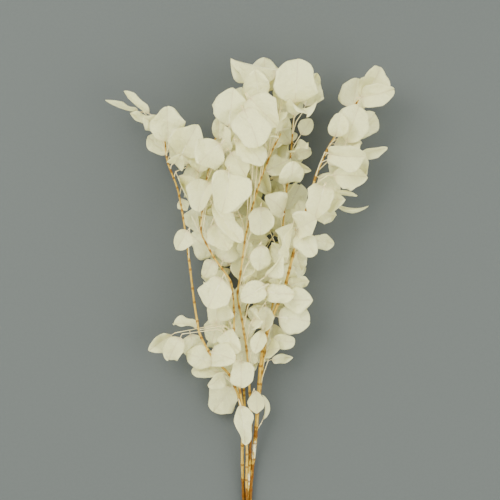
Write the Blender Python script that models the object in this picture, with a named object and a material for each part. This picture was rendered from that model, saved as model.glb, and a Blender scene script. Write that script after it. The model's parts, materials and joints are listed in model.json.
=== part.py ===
"""A bunch of six bleached eucalyptus branches, laid down on a table.

The branches point along +Y, the table is the plane Z = 0, and the origin lies on the table under
the middle of the bunch. Every leafy branch is one body: its stem, its side shoots and its leaves
have grown together. Leaves are placed along the shoots by a rule with seeded draws, and each one
is turned until it is clear of everything that grew before it.
"""

import math
import random
from collections import namedtuple

import bpy
import numpy as np
from mathutils import Quaternion, Vector
from mathutils.bvhtree import BVHTree

# Sizes in metres, angles of shoots in degrees.
BLADE_THICKNESS = 0.0007
PETIOLE_RADIUS = 0.0008
PETIOLE_ROOT_RADIUS = 0.00045
PETIOLE_SHARE = 0.17  # of the blade's length
SHOOT_ROOT_RADIUS = 0.0013
SHOOT_TIP_RADIUS = 0.0009
CLEARANCE = 0.0004
TABLE_GIVE = 0.006  # below this height a leaf bends to lie along the table
STIFF_FOLD = 0.8  # radians: a blade that is folded further than this hardly curls along its rib
DEEPEST_BEND = 0.022  # a blade that would reach further below the table turns away instead
ROOT_SKIP = 0.004  # petioles that leave the same joint may touch over this length

# Places of the rows of a blade from base to tip, and of the points of a row from left to right.
ROWS = (0.15, 0.50, 0.85)
SMALL_ROWS = (0.24, 0.74)
ACROSS = (-1, 0, 1)
SMALL_BLADE = 0.040
TEST_ROWS = (0.05, 0.16, 0.33, 0.50, 0.67, 0.84, 0.95)
TEST_ACROSS = (-1, -0.5, 0, 0.5, 1)

STEM_SIDES = 6
SHOOT_SIDES = 4
STEM_STEP = 0.038  # length of one straight run of a stem
SHOOT_STEPS = 2
LEAF_TRIES = 30
GAP_TRIES = 10
GROWTH_SEED = 41
# Rounds of gap filling: spacing of the spots that are searched, shortest leaf, most leaves.
GAP_ROUNDS = ((0.011, 0.046, 70), (0.008, 0.034, 28))

# height: where on the stem the shoot leaves it. tip: the shoot's end. length: of its leaves.
# aim: where its end leaf's tip reaches, or None for straight on. roll, fold and wide are the end
# leaf's turn about its rib, fold along its rib and width over length, or None for any.
Shoot = namedtuple("Shoot", "height tip leaves length aim roll fold wide", defaults=(None,) * 4)
# start: the height where the stem's own leaves begin.
Crown = namedtuple("Crown", "start leaves length")
# seen: stretches of the stem that no leaf covers from above, as pairs of heights.
Branch = namedtuple("Branch", "butt_radius top_radius route seen crown shoots")
# round: the lower, the blunter the blade's outline. broad: below 1 it is broadest near its base.
Leaf = namedtuple(
    "Leaf", "root base along across normal length width round broad fold cup curl wave phase"
)

BRANCHES = {
    "left_branch": Branch(
        butt_radius=0.0024,
        top_radius=0.0009,
        route=(
            (-0.0090, -0.070, 0.0055), (-0.0083, -0.035, 0.0058), (-0.0088, 0.000, 0.0075),
            (-0.0115, 0.035, 0.0125), (-0.0105, 0.075, 0.0205), (-0.0110, 0.105, 0.0275),
            (-0.0150, 0.140, 0.0370), (-0.0280, 0.175, 0.0520), (-0.0530, 0.200, 0.0680),
            (-0.0660, 0.222, 0.0740), (-0.0740, 0.245, 0.0770), (-0.0770, 0.268, 0.0790),
            (-0.0760, 0.292, 0.0800), (-0.0840, 0.325, 0.0800), (-0.0870, 0.350, 0.0790),
            (-0.0880, 0.380, 0.0760), (-0.0980, 0.412, 0.0730), (-0.0995, 0.431, 0.0720),
            (-0.1055, 0.452, 0.0710), (-0.1150, 0.468, 0.0700), (-0.1165, 0.495, 0.0690),
            (-0.1200, 0.520, 0.0670),
        ),
        seen=((0.205, 0.335), (0.385, 0.485)),
        crown=Crown(0.440, 4, 0.054),
        shoots=(
            Shoot(0.505, (-0.134, 0.537, 0.074), 1, 0.046, (-0.174, 0.573, 0.084), 46, 40, 0.55),
            Shoot(0.495, (-0.150, 0.544, 0.058), 1, 0.050, (-0.203, 0.562, 0.060), 74, 40, 0.5),
            Shoot(0.480, (-0.137, 0.524, 0.062), 2, 0.046, (-0.168, 0.541, 0.060), 20, 30, 0.6),
            Shoot(0.480, (-0.112, 0.492, 0.084), 2, 0.058, (-0.114, 0.548, 0.094), 8, 14, 1.1),
            Shoot(0.462, (-0.098, 0.474, 0.078), 2, 0.058, (-0.072, 0.525, 0.084), 0, 12, 1.1),
            Shoot(0.470, (-0.108, 0.486, 0.062), 2, 0.056, (-0.146, 0.512, 0.058), 14, 16, 0.9),
            Shoot(0.450, (-0.088, 0.466, 0.062), 3, 0.058),
            Shoot(0.425, (-0.082, 0.446, 0.052), 3, 0.056),
            Shoot(0.405, (-0.099, 0.424, 0.060), 1, 0.022, (-0.088, 0.404, 0.058)),
            Shoot(0.335, (-0.083, 0.382, 0.090), 1, 0.042, (-0.101, 0.350, 0.098), -14, 18, 1.0),
            Shoot(0.160, (-0.046, 0.192, 0.048), 2, 0.052, (-0.092, 0.206, 0.046), 0, 8, 0.9),
            Shoot(0.140, (-0.040, 0.176, 0.038), 2, 0.050, (-0.086, 0.178, 0.034), 18, 26, 0.7),
            Shoot(0.115, (-0.022, 0.160, 0.032), 2, 0.058, (-0.054, 0.116, 0.024), 0, 12, 1.1),
        ),
    ),
    "centre_left_branch": Branch(
        butt_radius=0.0018,
        top_radius=0.0009,
        route=(
            (-0.0020, -0.066, 0.0148), (-0.0030, -0.035, 0.0147), (-0.0050, 0.000, 0.0180),
            (-0.0052, 0.035, 0.0255), (-0.0040, 0.070, 0.0330), (-0.0070, 0.110, 0.0410),
            (-0.0140, 0.150, 0.0500), (-0.0200, 0.190, 0.0580), (-0.0230, 0.230, 0.0660),
            (-0.0220, 0.265, 0.0730), (-0.0210, 0.292, 0.0780), (-0.0320, 0.320, 0.0820),
            (-0.0460, 0.336, 0.0840), (-0.0590, 0.345, 0.0840), (-0.0670, 0.360, 0.0820),
            (-0.0690, 0.390, 0.0780), (-0.0640, 0.425, 0.0730), (-0.0580, 0.462, 0.0690),
            (-0.0500, 0.500, 0.0640), (-0.0420, 0.528, 0.0600),
        ),
        seen=((0.130, 0.160), (0.270, 0.345)),
        crown=Crown(0.370, 6, 0.056),
        shoots=(
            Shoot(0.270, (-0.036, 0.318, 0.090), 2, 0.056, (-0.058, 0.270, 0.096), 0, 8, 1.1),
            Shoot(0.290, (-0.050, 0.340, 0.066), 3, 0.052, (-0.064, 0.312, 0.064), 0, 10, 1.0),
            Shoot(0.348, (-0.058, 0.424, 0.108), 2, 0.066, (-0.010, 0.360, 0.104), -18, 30, 0.5),
            Shoot(0.350, (-0.050, 0.394, 0.092), 2, 0.064, (-0.028, 0.340, 0.092), 0, 8, 1.1),
            Shoot(0.360, (-0.082, 0.398, 0.062), 3, 0.046),
            Shoot(0.380, (-0.050, 0.448, 0.098), 2, 0.066, (-0.066, 0.390, 0.096), 14, 26, 1.1),
            Shoot(0.395, (-0.028, 0.464, 0.112), 2, 0.068, (-0.040, 0.396, 0.122), -12, 22, 1.1),
            Shoot(0.415, (-0.074, 0.452, 0.084), 3, 0.060, (-0.062, 0.498, 0.092), 0, 14, 1.0),
            Shoot(0.440, (-0.030, 0.490, 0.100), 3, 0.064, (-0.006, 0.446, 0.108), 18, 28, 1.0),
            Shoot(0.450, (-0.034, 0.500, 0.112), 2, 0.068, (-0.042, 0.432, 0.124), 0, 8, 1.2),
            Shoot(0.470, (-0.030, 0.512, 0.092), 2, 0.064, (-0.022, 0.574, 0.098), 0, 12, 1.0),
            Shoot(0.480, (-0.044, 0.500, 0.072), 1, 0.040, (-0.044, 0.534, 0.072), 10, 16, 0.8),
            Shoot(0.225, (-0.106, 0.233, 0.044), 2, 0.040, (-0.143, 0.207, 0.046), -20, 30, 0.9),
            Shoot(0.220, (-0.096, 0.232, 0.054), 1, 0.038, (-0.114, 0.194, 0.044), 10, 14, 0.9),
            Shoot(0.232, (-0.072, 0.238, 0.058), 1, 0.040, (-0.110, 0.244, 0.064), 44, 36, 0.7),
            Shoot(0.235, (-0.044, 0.262, 0.058), 3, 0.054, (-0.054, 0.218, 0.052), 0, 14, 0.9),
            Shoot(0.150, (-0.012, 0.202, 0.076), 1, 0.050, (-0.012, 0.156, 0.080), 0, 8, 1.0),
            Shoot(0.110, (-0.016, 0.142, 0.062), 1, 0.064, (-0.009, 0.076, 0.058), -24, 34, 0.62),
        ),
    ),
    "centre_branch": Branch(
        butt_radius=0.0020,
        top_radius=0.0009,
        route=(
            (-0.0062, -0.074, 0.0108), (-0.0054, -0.035, 0.0113), (-0.0034, 0.000, 0.0135),
            (-0.0008, 0.040, 0.0195), (0.0005, 0.070, 0.0250), (0.0015, 0.105, 0.0310),
            (0.0000, 0.150, 0.0420), (-0.0035, 0.190, 0.0510), (-0.0055, 0.225, 0.0590),
            (-0.0120, 0.255, 0.0640), (-0.0180, 0.280, 0.0680), (-0.0170, 0.300, 0.0710),
            (-0.0130, 0.318, 0.0740), (-0.0100, 0.345, 0.0770), (-0.0060, 0.372, 0.0800),
            (-0.0030, 0.395, 0.0820), (0.0080, 0.418, 0.0830), (0.0130, 0.440, 0.0820),
            (0.0170, 0.462, 0.0800), (0.0300, 0.487, 0.0760), (0.0430, 0.512, 0.0720),
        ),
        seen=((0.208, 0.228), (0.300, 0.322), (0.350, 0.508)),
        crown=Crown(0.400, 4, 0.054),
        shoots=(
            Shoot(0.475, (0.048, 0.600, 0.070), 1, 0.066, (-0.027, 0.616, 0.076), -80, 80, 1.15),
            Shoot(0.130, (0.006, 0.156, 0.056), 1, 0.044, (0.010, 0.116, 0.052), 10, 20, 0.8),
            Shoot(0.180, (0.020, 0.246, 0.074), 2, 0.050, (0.006, 0.206, 0.080), 10, 16, 0.7),
            Shoot(0.215, (0.022, 0.278, 0.070), 2, 0.048, (0.018, 0.232, 0.068), 10, 24, 0.8),
            Shoot(0.240, (0.026, 0.304, 0.084), 2, 0.050, (-0.016, 0.280, 0.088), 0, 10, 0.9),
            Shoot(0.270, (0.020, 0.312, 0.080), 3, 0.050, (0.044, 0.344, 0.088), 30, 34, 0.8),
            Shoot(0.290, (0.016, 0.362, 0.078), 2, 0.048, (0.012, 0.320, 0.076), -10, 14, 1.0),
            Shoot(0.320, (0.016, 0.416, 0.080), 2, 0.052, (0.014, 0.370, 0.078), 0, 12, 1.0),
            Shoot(0.360, (-0.024, 0.420, 0.076), 2, 0.056),
            Shoot(0.375, (-0.022, 0.504, 0.100), 2, 0.068, (0.006, 0.448, 0.112), 0, 10, 1.0),
            Shoot(0.390, (-0.012, 0.548, 0.108), 2, 0.068, (0.012, 0.484, 0.120), -8, 22, 1.1),
            Shoot(0.415, (-0.006, 0.566, 0.102), 2, 0.068, (0.040, 0.518, 0.108), 14, 26, 1.1),
            Shoot(0.440, (0.010, 0.534, 0.088), 2, 0.066, (-0.030, 0.576, 0.094), 12, 24, 1.1),
            Shoot(0.450, (0.012, 0.544, 0.092), 2, 0.066, (0.006, 0.598, 0.106), -12, 22, 1.0),
            Shoot(0.470, (0.018, 0.566, 0.058), 2, 0.068, (0.015, 0.626, 0.054), 0, 14, 1.1),
            Shoot(0.490, (0.040, 0.540, 0.064), 2, 0.054),
        ),
    ),
    "centre_right_branch": Branch(
        butt_radius=0.0020,
        top_radius=0.0009,
        route=(
            (-0.0004, -0.064, 0.0021), (-0.0010, -0.035, 0.0023), (-0.0005, 0.000, 0.0040),
            (0.0020, 0.035, 0.0068), (0.0060, 0.070, 0.0115), (0.0100, 0.105, 0.0175),
            (0.0140, 0.150, 0.0255), (0.0200, 0.200, 0.0345), (0.0270, 0.240, 0.0410),
            (0.0320, 0.275, 0.0460), (0.0380, 0.310, 0.0490), (0.0430, 0.350, 0.0510),
            (0.0470, 0.390, 0.0520), (0.0510, 0.430, 0.0520), (0.0550, 0.465, 0.0540),
            (0.0580, 0.492, 0.0580), (0.0630, 0.520, 0.0620), (0.0620, 0.545, 0.0640),
        ),
        seen=((0.495, 0.535),),
        crown=Crown(0.330, 7, 0.054),
        shoots=(
            Shoot(0.150, (0.026, 0.194, 0.036), 1, 0.040, (0.062, 0.197, 0.038), 24, 34, 0.7),
            Shoot(0.175, (0.030, 0.226, 0.044), 2, 0.046, (0.064, 0.220, 0.046), 10, 20, 0.9),
            Shoot(0.205, (0.034, 0.258, 0.064), 2, 0.054, (0.085, 0.250, 0.068), 0, 14, 1.1),
            Shoot(0.235, (0.038, 0.282, 0.074), 2, 0.056, (0.088, 0.280, 0.080), 0, 12, 1.0),
            Shoot(0.260, (0.050, 0.298, 0.062), 2, 0.050, (0.086, 0.306, 0.066), 26, 24, 0.9),
            Shoot(0.290, (0.050, 0.330, 0.036), 3, 0.050),
            Shoot(0.330, (0.028, 0.376, 0.052), 3, 0.058),
            Shoot(0.375, (0.032, 0.420, 0.052), 3, 0.060),
            Shoot(0.420, (0.036, 0.466, 0.062), 3, 0.060),
            Shoot(0.440, (0.058, 0.484, 0.046), 3, 0.046, (0.088, 0.492, 0.042), 0, 14, 0.9),
            Shoot(0.480, (0.070, 0.510, 0.052), 2, 0.046, (0.087, 0.536, 0.050), 0, 14, 0.9),
            Shoot(0.510, (0.062, 0.546, 0.082), 2, 0.068, (0.066, 0.616, 0.090), 0, 8, 1.1),
            Shoot(0.512, (0.076, 0.546, 0.068), 2, 0.064, (0.098, 0.600, 0.068), 20, 34, 0.9),
        ),
    ),
    "right_branch": Branch(
        butt_radius=0.0033,
        top_radius=0.0010,
        route=(
            (-0.0018, -0.078, 0.0080), (-0.0006, -0.035, 0.0081), (-0.0002, 0.000, 0.0098),
            (0.0030, 0.035, 0.0145), (0.0062, 0.070, 0.0200), (0.0088, 0.095, 0.0250),
            (0.0110, 0.130, 0.0330), (0.0130, 0.165, 0.0410), (0.0160, 0.200, 0.0480),
            (0.0240, 0.240, 0.0560), (0.0400, 0.275, 0.0610), (0.0540, 0.312, 0.0650),
            (0.0600, 0.345, 0.0670), (0.0700, 0.385, 0.0680), (0.0820, 0.415, 0.0680),
            (0.0900, 0.448, 0.0670), (0.0990, 0.475, 0.0650), (0.1180, 0.507, 0.0620),
            (0.1380, 0.540, 0.0590), (0.1520, 0.560, 0.0570),
        ),
        seen=((0.160, 0.200), (0.315, 0.350), (0.405, 0.462)),
        crown=Crown(0.470, 4, 0.052),
        shoots=(
            Shoot(0.085, (0.0165, 0.104, 0.024), 1, 0.030, (0.015, 0.146, 0.030), 60, 30, 0.4),
            Shoot(0.305, (0.064, 0.352, 0.054), 3, 0.048, (0.074, 0.318, 0.050), 0, 20, 0.9),
            Shoot(0.325, (0.082, 0.366, 0.058), 2, 0.046, (0.118, 0.358, 0.058), 20, 24, 0.9),
            Shoot(0.345, (0.062, 0.398, 0.082), 2, 0.058, (0.052, 0.336, 0.086), 60, 50, 0.7),
            Shoot(0.370, (0.088, 0.402, 0.056), 2, 0.046, (0.124, 0.398, 0.050), 0, 16, 0.9),
            Shoot(0.395, (0.106, 0.444, 0.076), 2, 0.056, (0.090, 0.392, 0.080), 10, 20, 0.9),
            Shoot(0.400, (0.110, 0.428, 0.062), 1, 0.048, (0.153, 0.422, 0.064), 74, 40, 0.5),
            Shoot(0.405, (0.116, 0.418, 0.048), 1, 0.048, (0.169, 0.415, 0.048), 82, 30, 0.4),
            Shoot(0.430, (0.108, 0.454, 0.076), 2, 0.058, (0.164, 0.450, 0.084), 16, 28, 0.9),
            Shoot(0.448, (0.104, 0.486, 0.080), 2, 0.064, (0.164, 0.480, 0.090), 20, 34, 1.0),
            Shoot(0.460, (0.146, 0.482, 0.058), 1, 0.040, (0.193, 0.492, 0.060), 30, 40, 0.6),
            Shoot(0.480, (0.132, 0.494, 0.068), 2, 0.060, (0.152, 0.552, 0.074), 0, 14, 1.0),
            Shoot(0.500, (0.144, 0.504, 0.052), 2, 0.054, (0.176, 0.542, 0.050), 0, 12, 1.0),
            Shoot(0.490, (0.118, 0.504, 0.078), 1, 0.044, (0.124, 0.544, 0.086), 0, 14, 0.9),
            Shoot(0.520, (0.144, 0.544, 0.050), 2, 0.052, (0.152, 0.594, 0.044), 0, 14, 1.1),
            Shoot(0.535, (0.158, 0.562, 0.066), 2, 0.052, (0.182, 0.607, 0.068), 14, 24, 1.0),
            Shoot(0.540, (0.148, 0.562, 0.076), 2, 0.054, (0.207, 0.576, 0.082), 10, 20, 0.8),
        ),
    ),
    "back_branch": Branch(
        butt_radius=0.0018,
        top_radius=0.0009,
        route=(
            (-0.0062, -0.068, 0.0019), (-0.0054, -0.035, 0.0021), (-0.0050, 0.000, 0.0032),
            (-0.0040, 0.035, 0.0055), (-0.0040, 0.070, 0.0085), (-0.0060, 0.110, 0.0125),
            (-0.0090, 0.150, 0.0175), (-0.0100, 0.200, 0.0230), (-0.0060, 0.250, 0.0280),
            (0.0000, 0.300, 0.0320), (0.0050, 0.350, 0.0350), (0.0080, 0.400, 0.0370),
            (0.0060, 0.450, 0.0380), (0.0000, 0.500, 0.0390), (-0.0060, 0.540, 0.0400),
        ),
        seen=(),
        crown=Crown(0.150, 9, 0.052),
        shoots=(
            Shoot(0.250, (-0.050, 0.366, 0.014), 2, 0.056, (-0.078, 0.418, -0.016), 0, 5, 1.0),
            Shoot(0.280, (0.046, 0.392, 0.014), 2, 0.056, (0.072, 0.444, -0.016), 0, 5, 1.0),
            Shoot(0.450, (-0.010, 0.526, 0.014), 2, 0.056, (-0.012, 0.584, -0.016), 0, 5, 1.0),
            Shoot(0.150, (-0.032, 0.196, 0.022), 2, 0.046),
            Shoot(0.230, (-0.036, 0.280, 0.026), 3, 0.050),
            Shoot(0.290, (-0.042, 0.344, 0.030), 2, 0.054),
            Shoot(0.320, (0.030, 0.366, 0.030), 2, 0.054),
            Shoot(0.370, (-0.042, 0.414, 0.036), 3, 0.054),
            Shoot(0.410, (0.038, 0.462, 0.034), 3, 0.056),
            Shoot(0.440, (-0.044, 0.492, 0.036), 3, 0.054),
            Shoot(0.470, (0.034, 0.532, 0.036), 3, 0.056),
        ),
    ),
}

# The outline that the leaves keep to, seen from above, clockwise from the left spray's tip.
OUTLINE = (
    (-0.206, 0.562), (-0.191, 0.570), (-0.176, 0.576), (-0.158, 0.572), (-0.146, 0.562), (-0.142, 0.546),
    (-0.132, 0.550), (-0.110, 0.549), (-0.098, 0.540), (-0.090, 0.529), (-0.074, 0.528), (-0.066, 0.516),
    (-0.058, 0.500), (-0.051, 0.512), (-0.052, 0.530), (-0.046, 0.534), (-0.042, 0.541), (-0.041, 0.556),
    (-0.032, 0.576), (-0.024, 0.581), (-0.028, 0.614), (-0.010, 0.616), (0.014, 0.627), (0.044, 0.622),
    (0.046, 0.612), (0.062, 0.617), (0.082, 0.610), (0.098, 0.600), (0.106, 0.578), (0.098, 0.552),
    (0.092, 0.538), (0.087, 0.520), (0.083, 0.507), (0.089, 0.492), (0.079, 0.480), (0.077, 0.462),
    (0.080, 0.448), (0.084, 0.462), (0.098, 0.476), (0.113, 0.512), (0.119, 0.532), (0.126, 0.542),
    (0.137, 0.543), (0.135, 0.562), (0.144, 0.584), (0.156, 0.595), (0.166, 0.606), (0.186, 0.608),
    (0.198, 0.586), (0.207, 0.580), (0.200, 0.566), (0.190, 0.556), (0.176, 0.548), (0.180, 0.538),
    (0.170, 0.518), (0.170, 0.500), (0.182, 0.501), (0.194, 0.490), (0.184, 0.480), (0.166, 0.470),
    (0.161, 0.440), (0.150, 0.432), (0.156, 0.422), (0.160, 0.412), (0.134, 0.412), (0.118, 0.396),
    (0.104, 0.390), (0.094, 0.394), (0.082, 0.383), (0.104, 0.382), (0.113, 0.374), (0.119, 0.354),
    (0.094, 0.346), (0.079, 0.330), (0.088, 0.304), (0.080, 0.292), (0.088, 0.278), (0.086, 0.248),
    (0.070, 0.230), (0.064, 0.220), (0.052, 0.209), (0.063, 0.196), (0.032, 0.186), (0.020, 0.156),
    (0.019, 0.134), (0.010, 0.112), (0.003, 0.078), (-0.013, 0.080), (-0.021, 0.112), (-0.033, 0.111),
    (-0.062, 0.132), (-0.070, 0.142), (-0.067, 0.156), (-0.074, 0.160), (-0.088, 0.180), (-0.094, 0.204),
    (-0.090, 0.214), (-0.072, 0.222), (-0.097, 0.234), (-0.098, 0.205), (-0.122, 0.193), (-0.145, 0.206),
    (-0.134, 0.228), (-0.118, 0.233), (-0.110, 0.249), (-0.078, 0.249), (-0.062, 0.240), (-0.066, 0.262),
    (-0.070, 0.280), (-0.076, 0.300), (-0.075, 0.325), (-0.078, 0.342), (-0.094, 0.343), (-0.103, 0.362),
    (-0.088, 0.378), (-0.090, 0.398), (-0.106, 0.414), (-0.106, 0.424), (-0.098, 0.436), (-0.100, 0.458),
    (-0.120, 0.474), (-0.128, 0.482), (-0.120, 0.490), (-0.148, 0.510), (-0.152, 0.522), (-0.170, 0.543),
)


def smooth_route(points, step):
    """Points about step apart on a Catmull-Rom curve through the given ones."""
    points = [Vector(p) for p in points]
    padded = [2 * points[0] - points[1], *points, 2 * points[-1] - points[-2]]
    route, since = [points[0]], 0.0
    for a, b, c, d in zip(padded, padded[1:], padded[2:], padded[3:]):
        for k in range(1, 5):
            t = k / 4
            square = (2 * a - 5 * b + 4 * c - d) * t**2
            cube = (3 * b - a - 3 * c + d) * t**3
            point = 0.5 * (2 * b + (c - a) * t + square + cube)
            since = (point - route[-1]).length
            if since >= step:
                route.append(point)
    if since > step * 0.4:
        route.append(points[-1])
    else:
        route[-1] = points[-1]
    return route


def spot_at_height(route, height):
    """The point of a route at this Y, and the direction of the route there."""
    for a, b in zip(route, route[1:]):
        if b.y >= height:
            share = (height - a.y) / max(b.y - a.y, 1e-9)
            return a.lerp(b, min(max(share, 0.0), 1.0)), (b - a).normalized()
    return route[-1], (route[-1] - route[-2]).normalized()


def shoot_route(start, heading, tip):
    """A side shoot: it leaves along the stem and swings out to its tip."""
    bend = start + heading * (tip - start).length * 0.45
    steps = [k / SHOOT_STEPS for k in range(SHOOT_STEPS + 1)]
    return [start * (1 - t) ** 2 + bend * 2 * t * (1 - t) + tip * t**2 for t in steps]


def tube(route, radii, sides):
    """A closed tube round a route, as vertices and faces."""
    verts, faces = [], []
    side = (route[1] - route[0]).orthogonal().normalized()
    for k, point in enumerate(route):
        ahead = (route[min(k + 1, len(route) - 1)] - route[max(k - 1, 0)]).normalized()
        side = (side - ahead * side.dot(ahead)).normalized()
        other = ahead.cross(side)
        for n in range(sides):
            angle = 2 * math.pi * n / sides
            verts.append(point + (side * math.cos(angle) + other * math.sin(angle)) * radii[k])
    for k in range(len(route) - 1):
        for n in range(sides):
            a, b = k * sides + n, k * sides + (n + 1) % sides
            faces.append((a, b, b + sides, a + sides))
    faces.append(tuple(reversed(range(sides))))
    faces.append(tuple(range(len(verts) - sides, len(verts))))
    return verts, faces


def blade_points(leaf, t, s, margin=0.0):
    """Points in the middle of the blade, t from base to tip and s from -1 to 1 across."""
    t, s = np.asarray(t, float), np.asarray(s, float)
    angle = leaf.curl * t
    radius = leaf.length / leaf.curl
    forward = (radius * np.sin(angle))[:, None]
    sag = (radius * (1 - np.cos(angle)))[:, None]
    along, across, normal, base = (np.array(v) for v in (leaf.along, leaf.across, leaf.normal, leaf.base))
    upright = np.cos(angle)[:, None] * normal + np.sin(angle)[:, None] * along
    shape = np.sin(np.pi * np.clip(t, 0, 1) ** leaf.broad)
    out = s * (0.5 * leaf.width * leaf.length * np.clip(shape, 0, 1) ** leaf.round + margin)
    lift = np.abs(out) * math.sin(leaf.fold) + leaf.cup * out**2 / leaf.length
    ripple = leaf.wave * leaf.length * s**2 * np.sin(3 * np.pi * t + leaf.phase + s)
    points = base + along * forward - normal * sag
    points = points + across * (out * math.cos(leaf.fold))[:, None] + upright * (lift + ripple)[:, None]
    low = points[:, 2] < TABLE_GIVE
    give = TABLE_GIVE - BLADE_THICKNESS / 2
    points[low, 2] = BLADE_THICKNESS / 2 + give * np.exp((points[low, 2] - TABLE_GIVE) / give)
    return points


def leaf_mesh(leaf, rows, across, thickness, margin=0.0, skip_root=0.0):
    """The petiole and blade as one closed thin solid of triangles."""
    count, span = len(rows), len(across)
    t = np.array([row for row in rows for _ in across] + [1.0])
    s = np.array(list(across) * count + [0.0])
    step = 0.02
    middle = blade_points(leaf, t, s, margin)
    wide = blade_points(leaf, np.minimum(t, 1 - step), s + step, margin)
    wide -= blade_points(leaf, np.minimum(t, 1 - step), s - step, margin)
    ahead = middle - blade_points(leaf, t - step, s, margin)
    upright = np.cross(wide, ahead)
    upright /= np.linalg.norm(upright, axis=1)[:, None]
    half = (thickness / 2 / np.where(s == 0, max(math.cos(leaf.fold), 0.5), 1.0))[:, None]
    middle[-1] += np.array(leaf.along) * margin
    upper, lower = middle + upright * half, middle - upright * half
    stalk = (leaf.base - leaf.root).normalized()
    verts = []
    for point, radius in ((leaf.root + stalk * skip_root, PETIOLE_ROOT_RADIUS), (leaf.base, PETIOLE_RADIUS)):
        wide, deep = leaf.across * (radius + margin), leaf.normal * (radius + margin)
        verts += [point - wide + deep * 0.6, point + wide + deep * 0.6, point - deep]
    verts = [tuple(v) for v in verts] + [tuple(v) for v in upper] + [tuple(v) for v in lower]
    up = lambda k, j: 6 + k * span + j
    low = lambda k, j: 6 + (count + k) * span + 1 + j
    tip_up, tip_low, end, mid = up(count, 0), 6 + 2 * count * span + 1, span - 1, span // 2
    faces = [(0, 2, 1), (0, 1, 4), (0, 4, 3), (1, 2, 5), (1, 5, 4), (2, 0, 3), (2, 3, 5), (3, 4, up(0, mid))]
    for j in range(end):
        faces.append((3 if j < mid else 4, up(0, j + 1), up(0, j)))
        faces.append((5, low(0, j), low(0, j + 1)))
        faces.append((up(count - 1, j), up(count - 1, j + 1), tip_up))
        faces.append((low(count - 1, j + 1), low(count - 1, j), tip_low))
    faces += [(3, up(0, 0), low(0, 0)), (3, low(0, 0), 5), (4, low(0, end), up(0, end)), (4, 5, low(0, end))]
    for k in range(count - 1):
        for j in range(end):
            a, b, c, d = (k, j), (k, j + 1), (k + 1, j + 1), (k + 1, j)
            faces += [(up(*a), up(*b), up(*c)), (up(*a), up(*c), up(*d))]
            faces += [(low(*a), low(*c), low(*b)), (low(*a), low(*d), low(*c))]
        faces += [(up(k, 0), up(k + 1, 0), low(k + 1, 0)), (up(k, 0), low(k + 1, 0), low(k, 0))]
        faces += [(low(k, end), low(k + 1, end), up(k + 1, end)), (low(k, end), up(k + 1, end), up(k, end))]
    last = count - 1
    faces += [(up(last, 0), tip_up, tip_low), (up(last, 0), tip_low, low(last, 0))]
    faces += [(low(last, end), tip_low, tip_up), (low(last, end), tip_up, up(last, end))]
    return verts, faces


def rows_of(leaf):
    return SMALL_ROWS if leaf.length < SMALL_BLADE else ROWS


def turned_leaf(root, along, length, roll, fold, wide, draw):
    """A leaf whose tip lies along a direction from root, as level as that allows before its roll."""
    along = along.normalized()
    across = along.cross(Vector((0, 0, 1)))
    across = across.normalized() if across.length > 0.05 else along.orthogonal().normalized()
    across.rotate(Quaternion(along, roll))
    curl = draw.uniform(0.2, 1.3) * (1 if draw.random() < 0.6 else -1)
    if fold > STIFF_FOLD:
        curl *= 0.2
    along.rotate(Quaternion(across, curl * 0.5))
    blade = length / (1 + PETIOLE_SHARE)
    base = root + along * blade * PETIOLE_SHARE
    return Leaf(
        root, base, along, across, across.cross(along), blade,
        width=wide or draw.uniform(0.86, 1.14),
        round=draw.uniform(0.40, 0.70),
        broad=draw.uniform(0.64, 1.10),
        fold=fold,
        cup=draw.uniform(-0.6, 0.9),
        curl=curl,
        wave=draw.uniform(0.04, 0.12),
        phase=draw.uniform(0, 6.28),
    )


def inside_outline(x, y):
    inside = False
    for (x1, y1), (x2, y2) in zip(OUTLINE, OUTLINE[1:] + OUTLINE[:1]):
        if (y1 > y) != (y2 > y) and x < x1 + (x2 - x1) * (y - y1) / (y2 - y1):
            inside = not inside
    return inside


class Solid:
    """A grown piece, and the finer form that others must clear as well."""

    def __init__(self, branch, shoot, verts, faces, finer=None):
        self.branch, self.shoot, self.verts, self.faces = branch, shoot, verts, faces
        self.tree = BVHTree.FromPolygons(verts, faces)
        self.finer = BVHTree.FromPolygons(*finer) if finer else self.tree
        points = np.array([tuple(v) for v in verts] + ([tuple(v) for v in finer[0]] if finer else []))
        self.low, self.high = points.min(0), points.max(0)


class Garden:
    """Everything that has grown so far, and the spots that stay open to the sky."""

    def __init__(self):
        self.solids = []
        self.open_spots = []

    def crosses(self, solid, form, skip):
        """Whether the plain or the finer form of a solid runs through another one's."""
        low, high = solid.low - CLEARANCE, solid.high + CLEARANCE
        mine = getattr(solid, form)
        for other in self.solids:
            if (low > other.high).any() or (high < other.low).any() or skip(other):
                continue
            if mine.overlap(getattr(other, form)):
                return True
        return False

    def shades(self, solid):
        for spot in self.open_spots:
            if solid.low[0] < spot.x < solid.high[0] and solid.low[1] < spot.y < solid.high[1]:
                if solid.finer.ray_cast(spot, (0, 0, 1))[0]:
                    return True
        return False

    def covered(self, x, y):
        for solid in self.solids:
            if solid.low[0] < x < solid.high[0] and solid.low[1] < y < solid.high[1]:
                if solid.finer.ray_cast((x, y, 0.4), (0, 0, -1))[0]:
                    return True
        return False

    def box(self):
        low = np.min([s.low for s in self.solids], 0)
        high = np.max([s.high for s in self.solids], 0)
        return low, high


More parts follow.
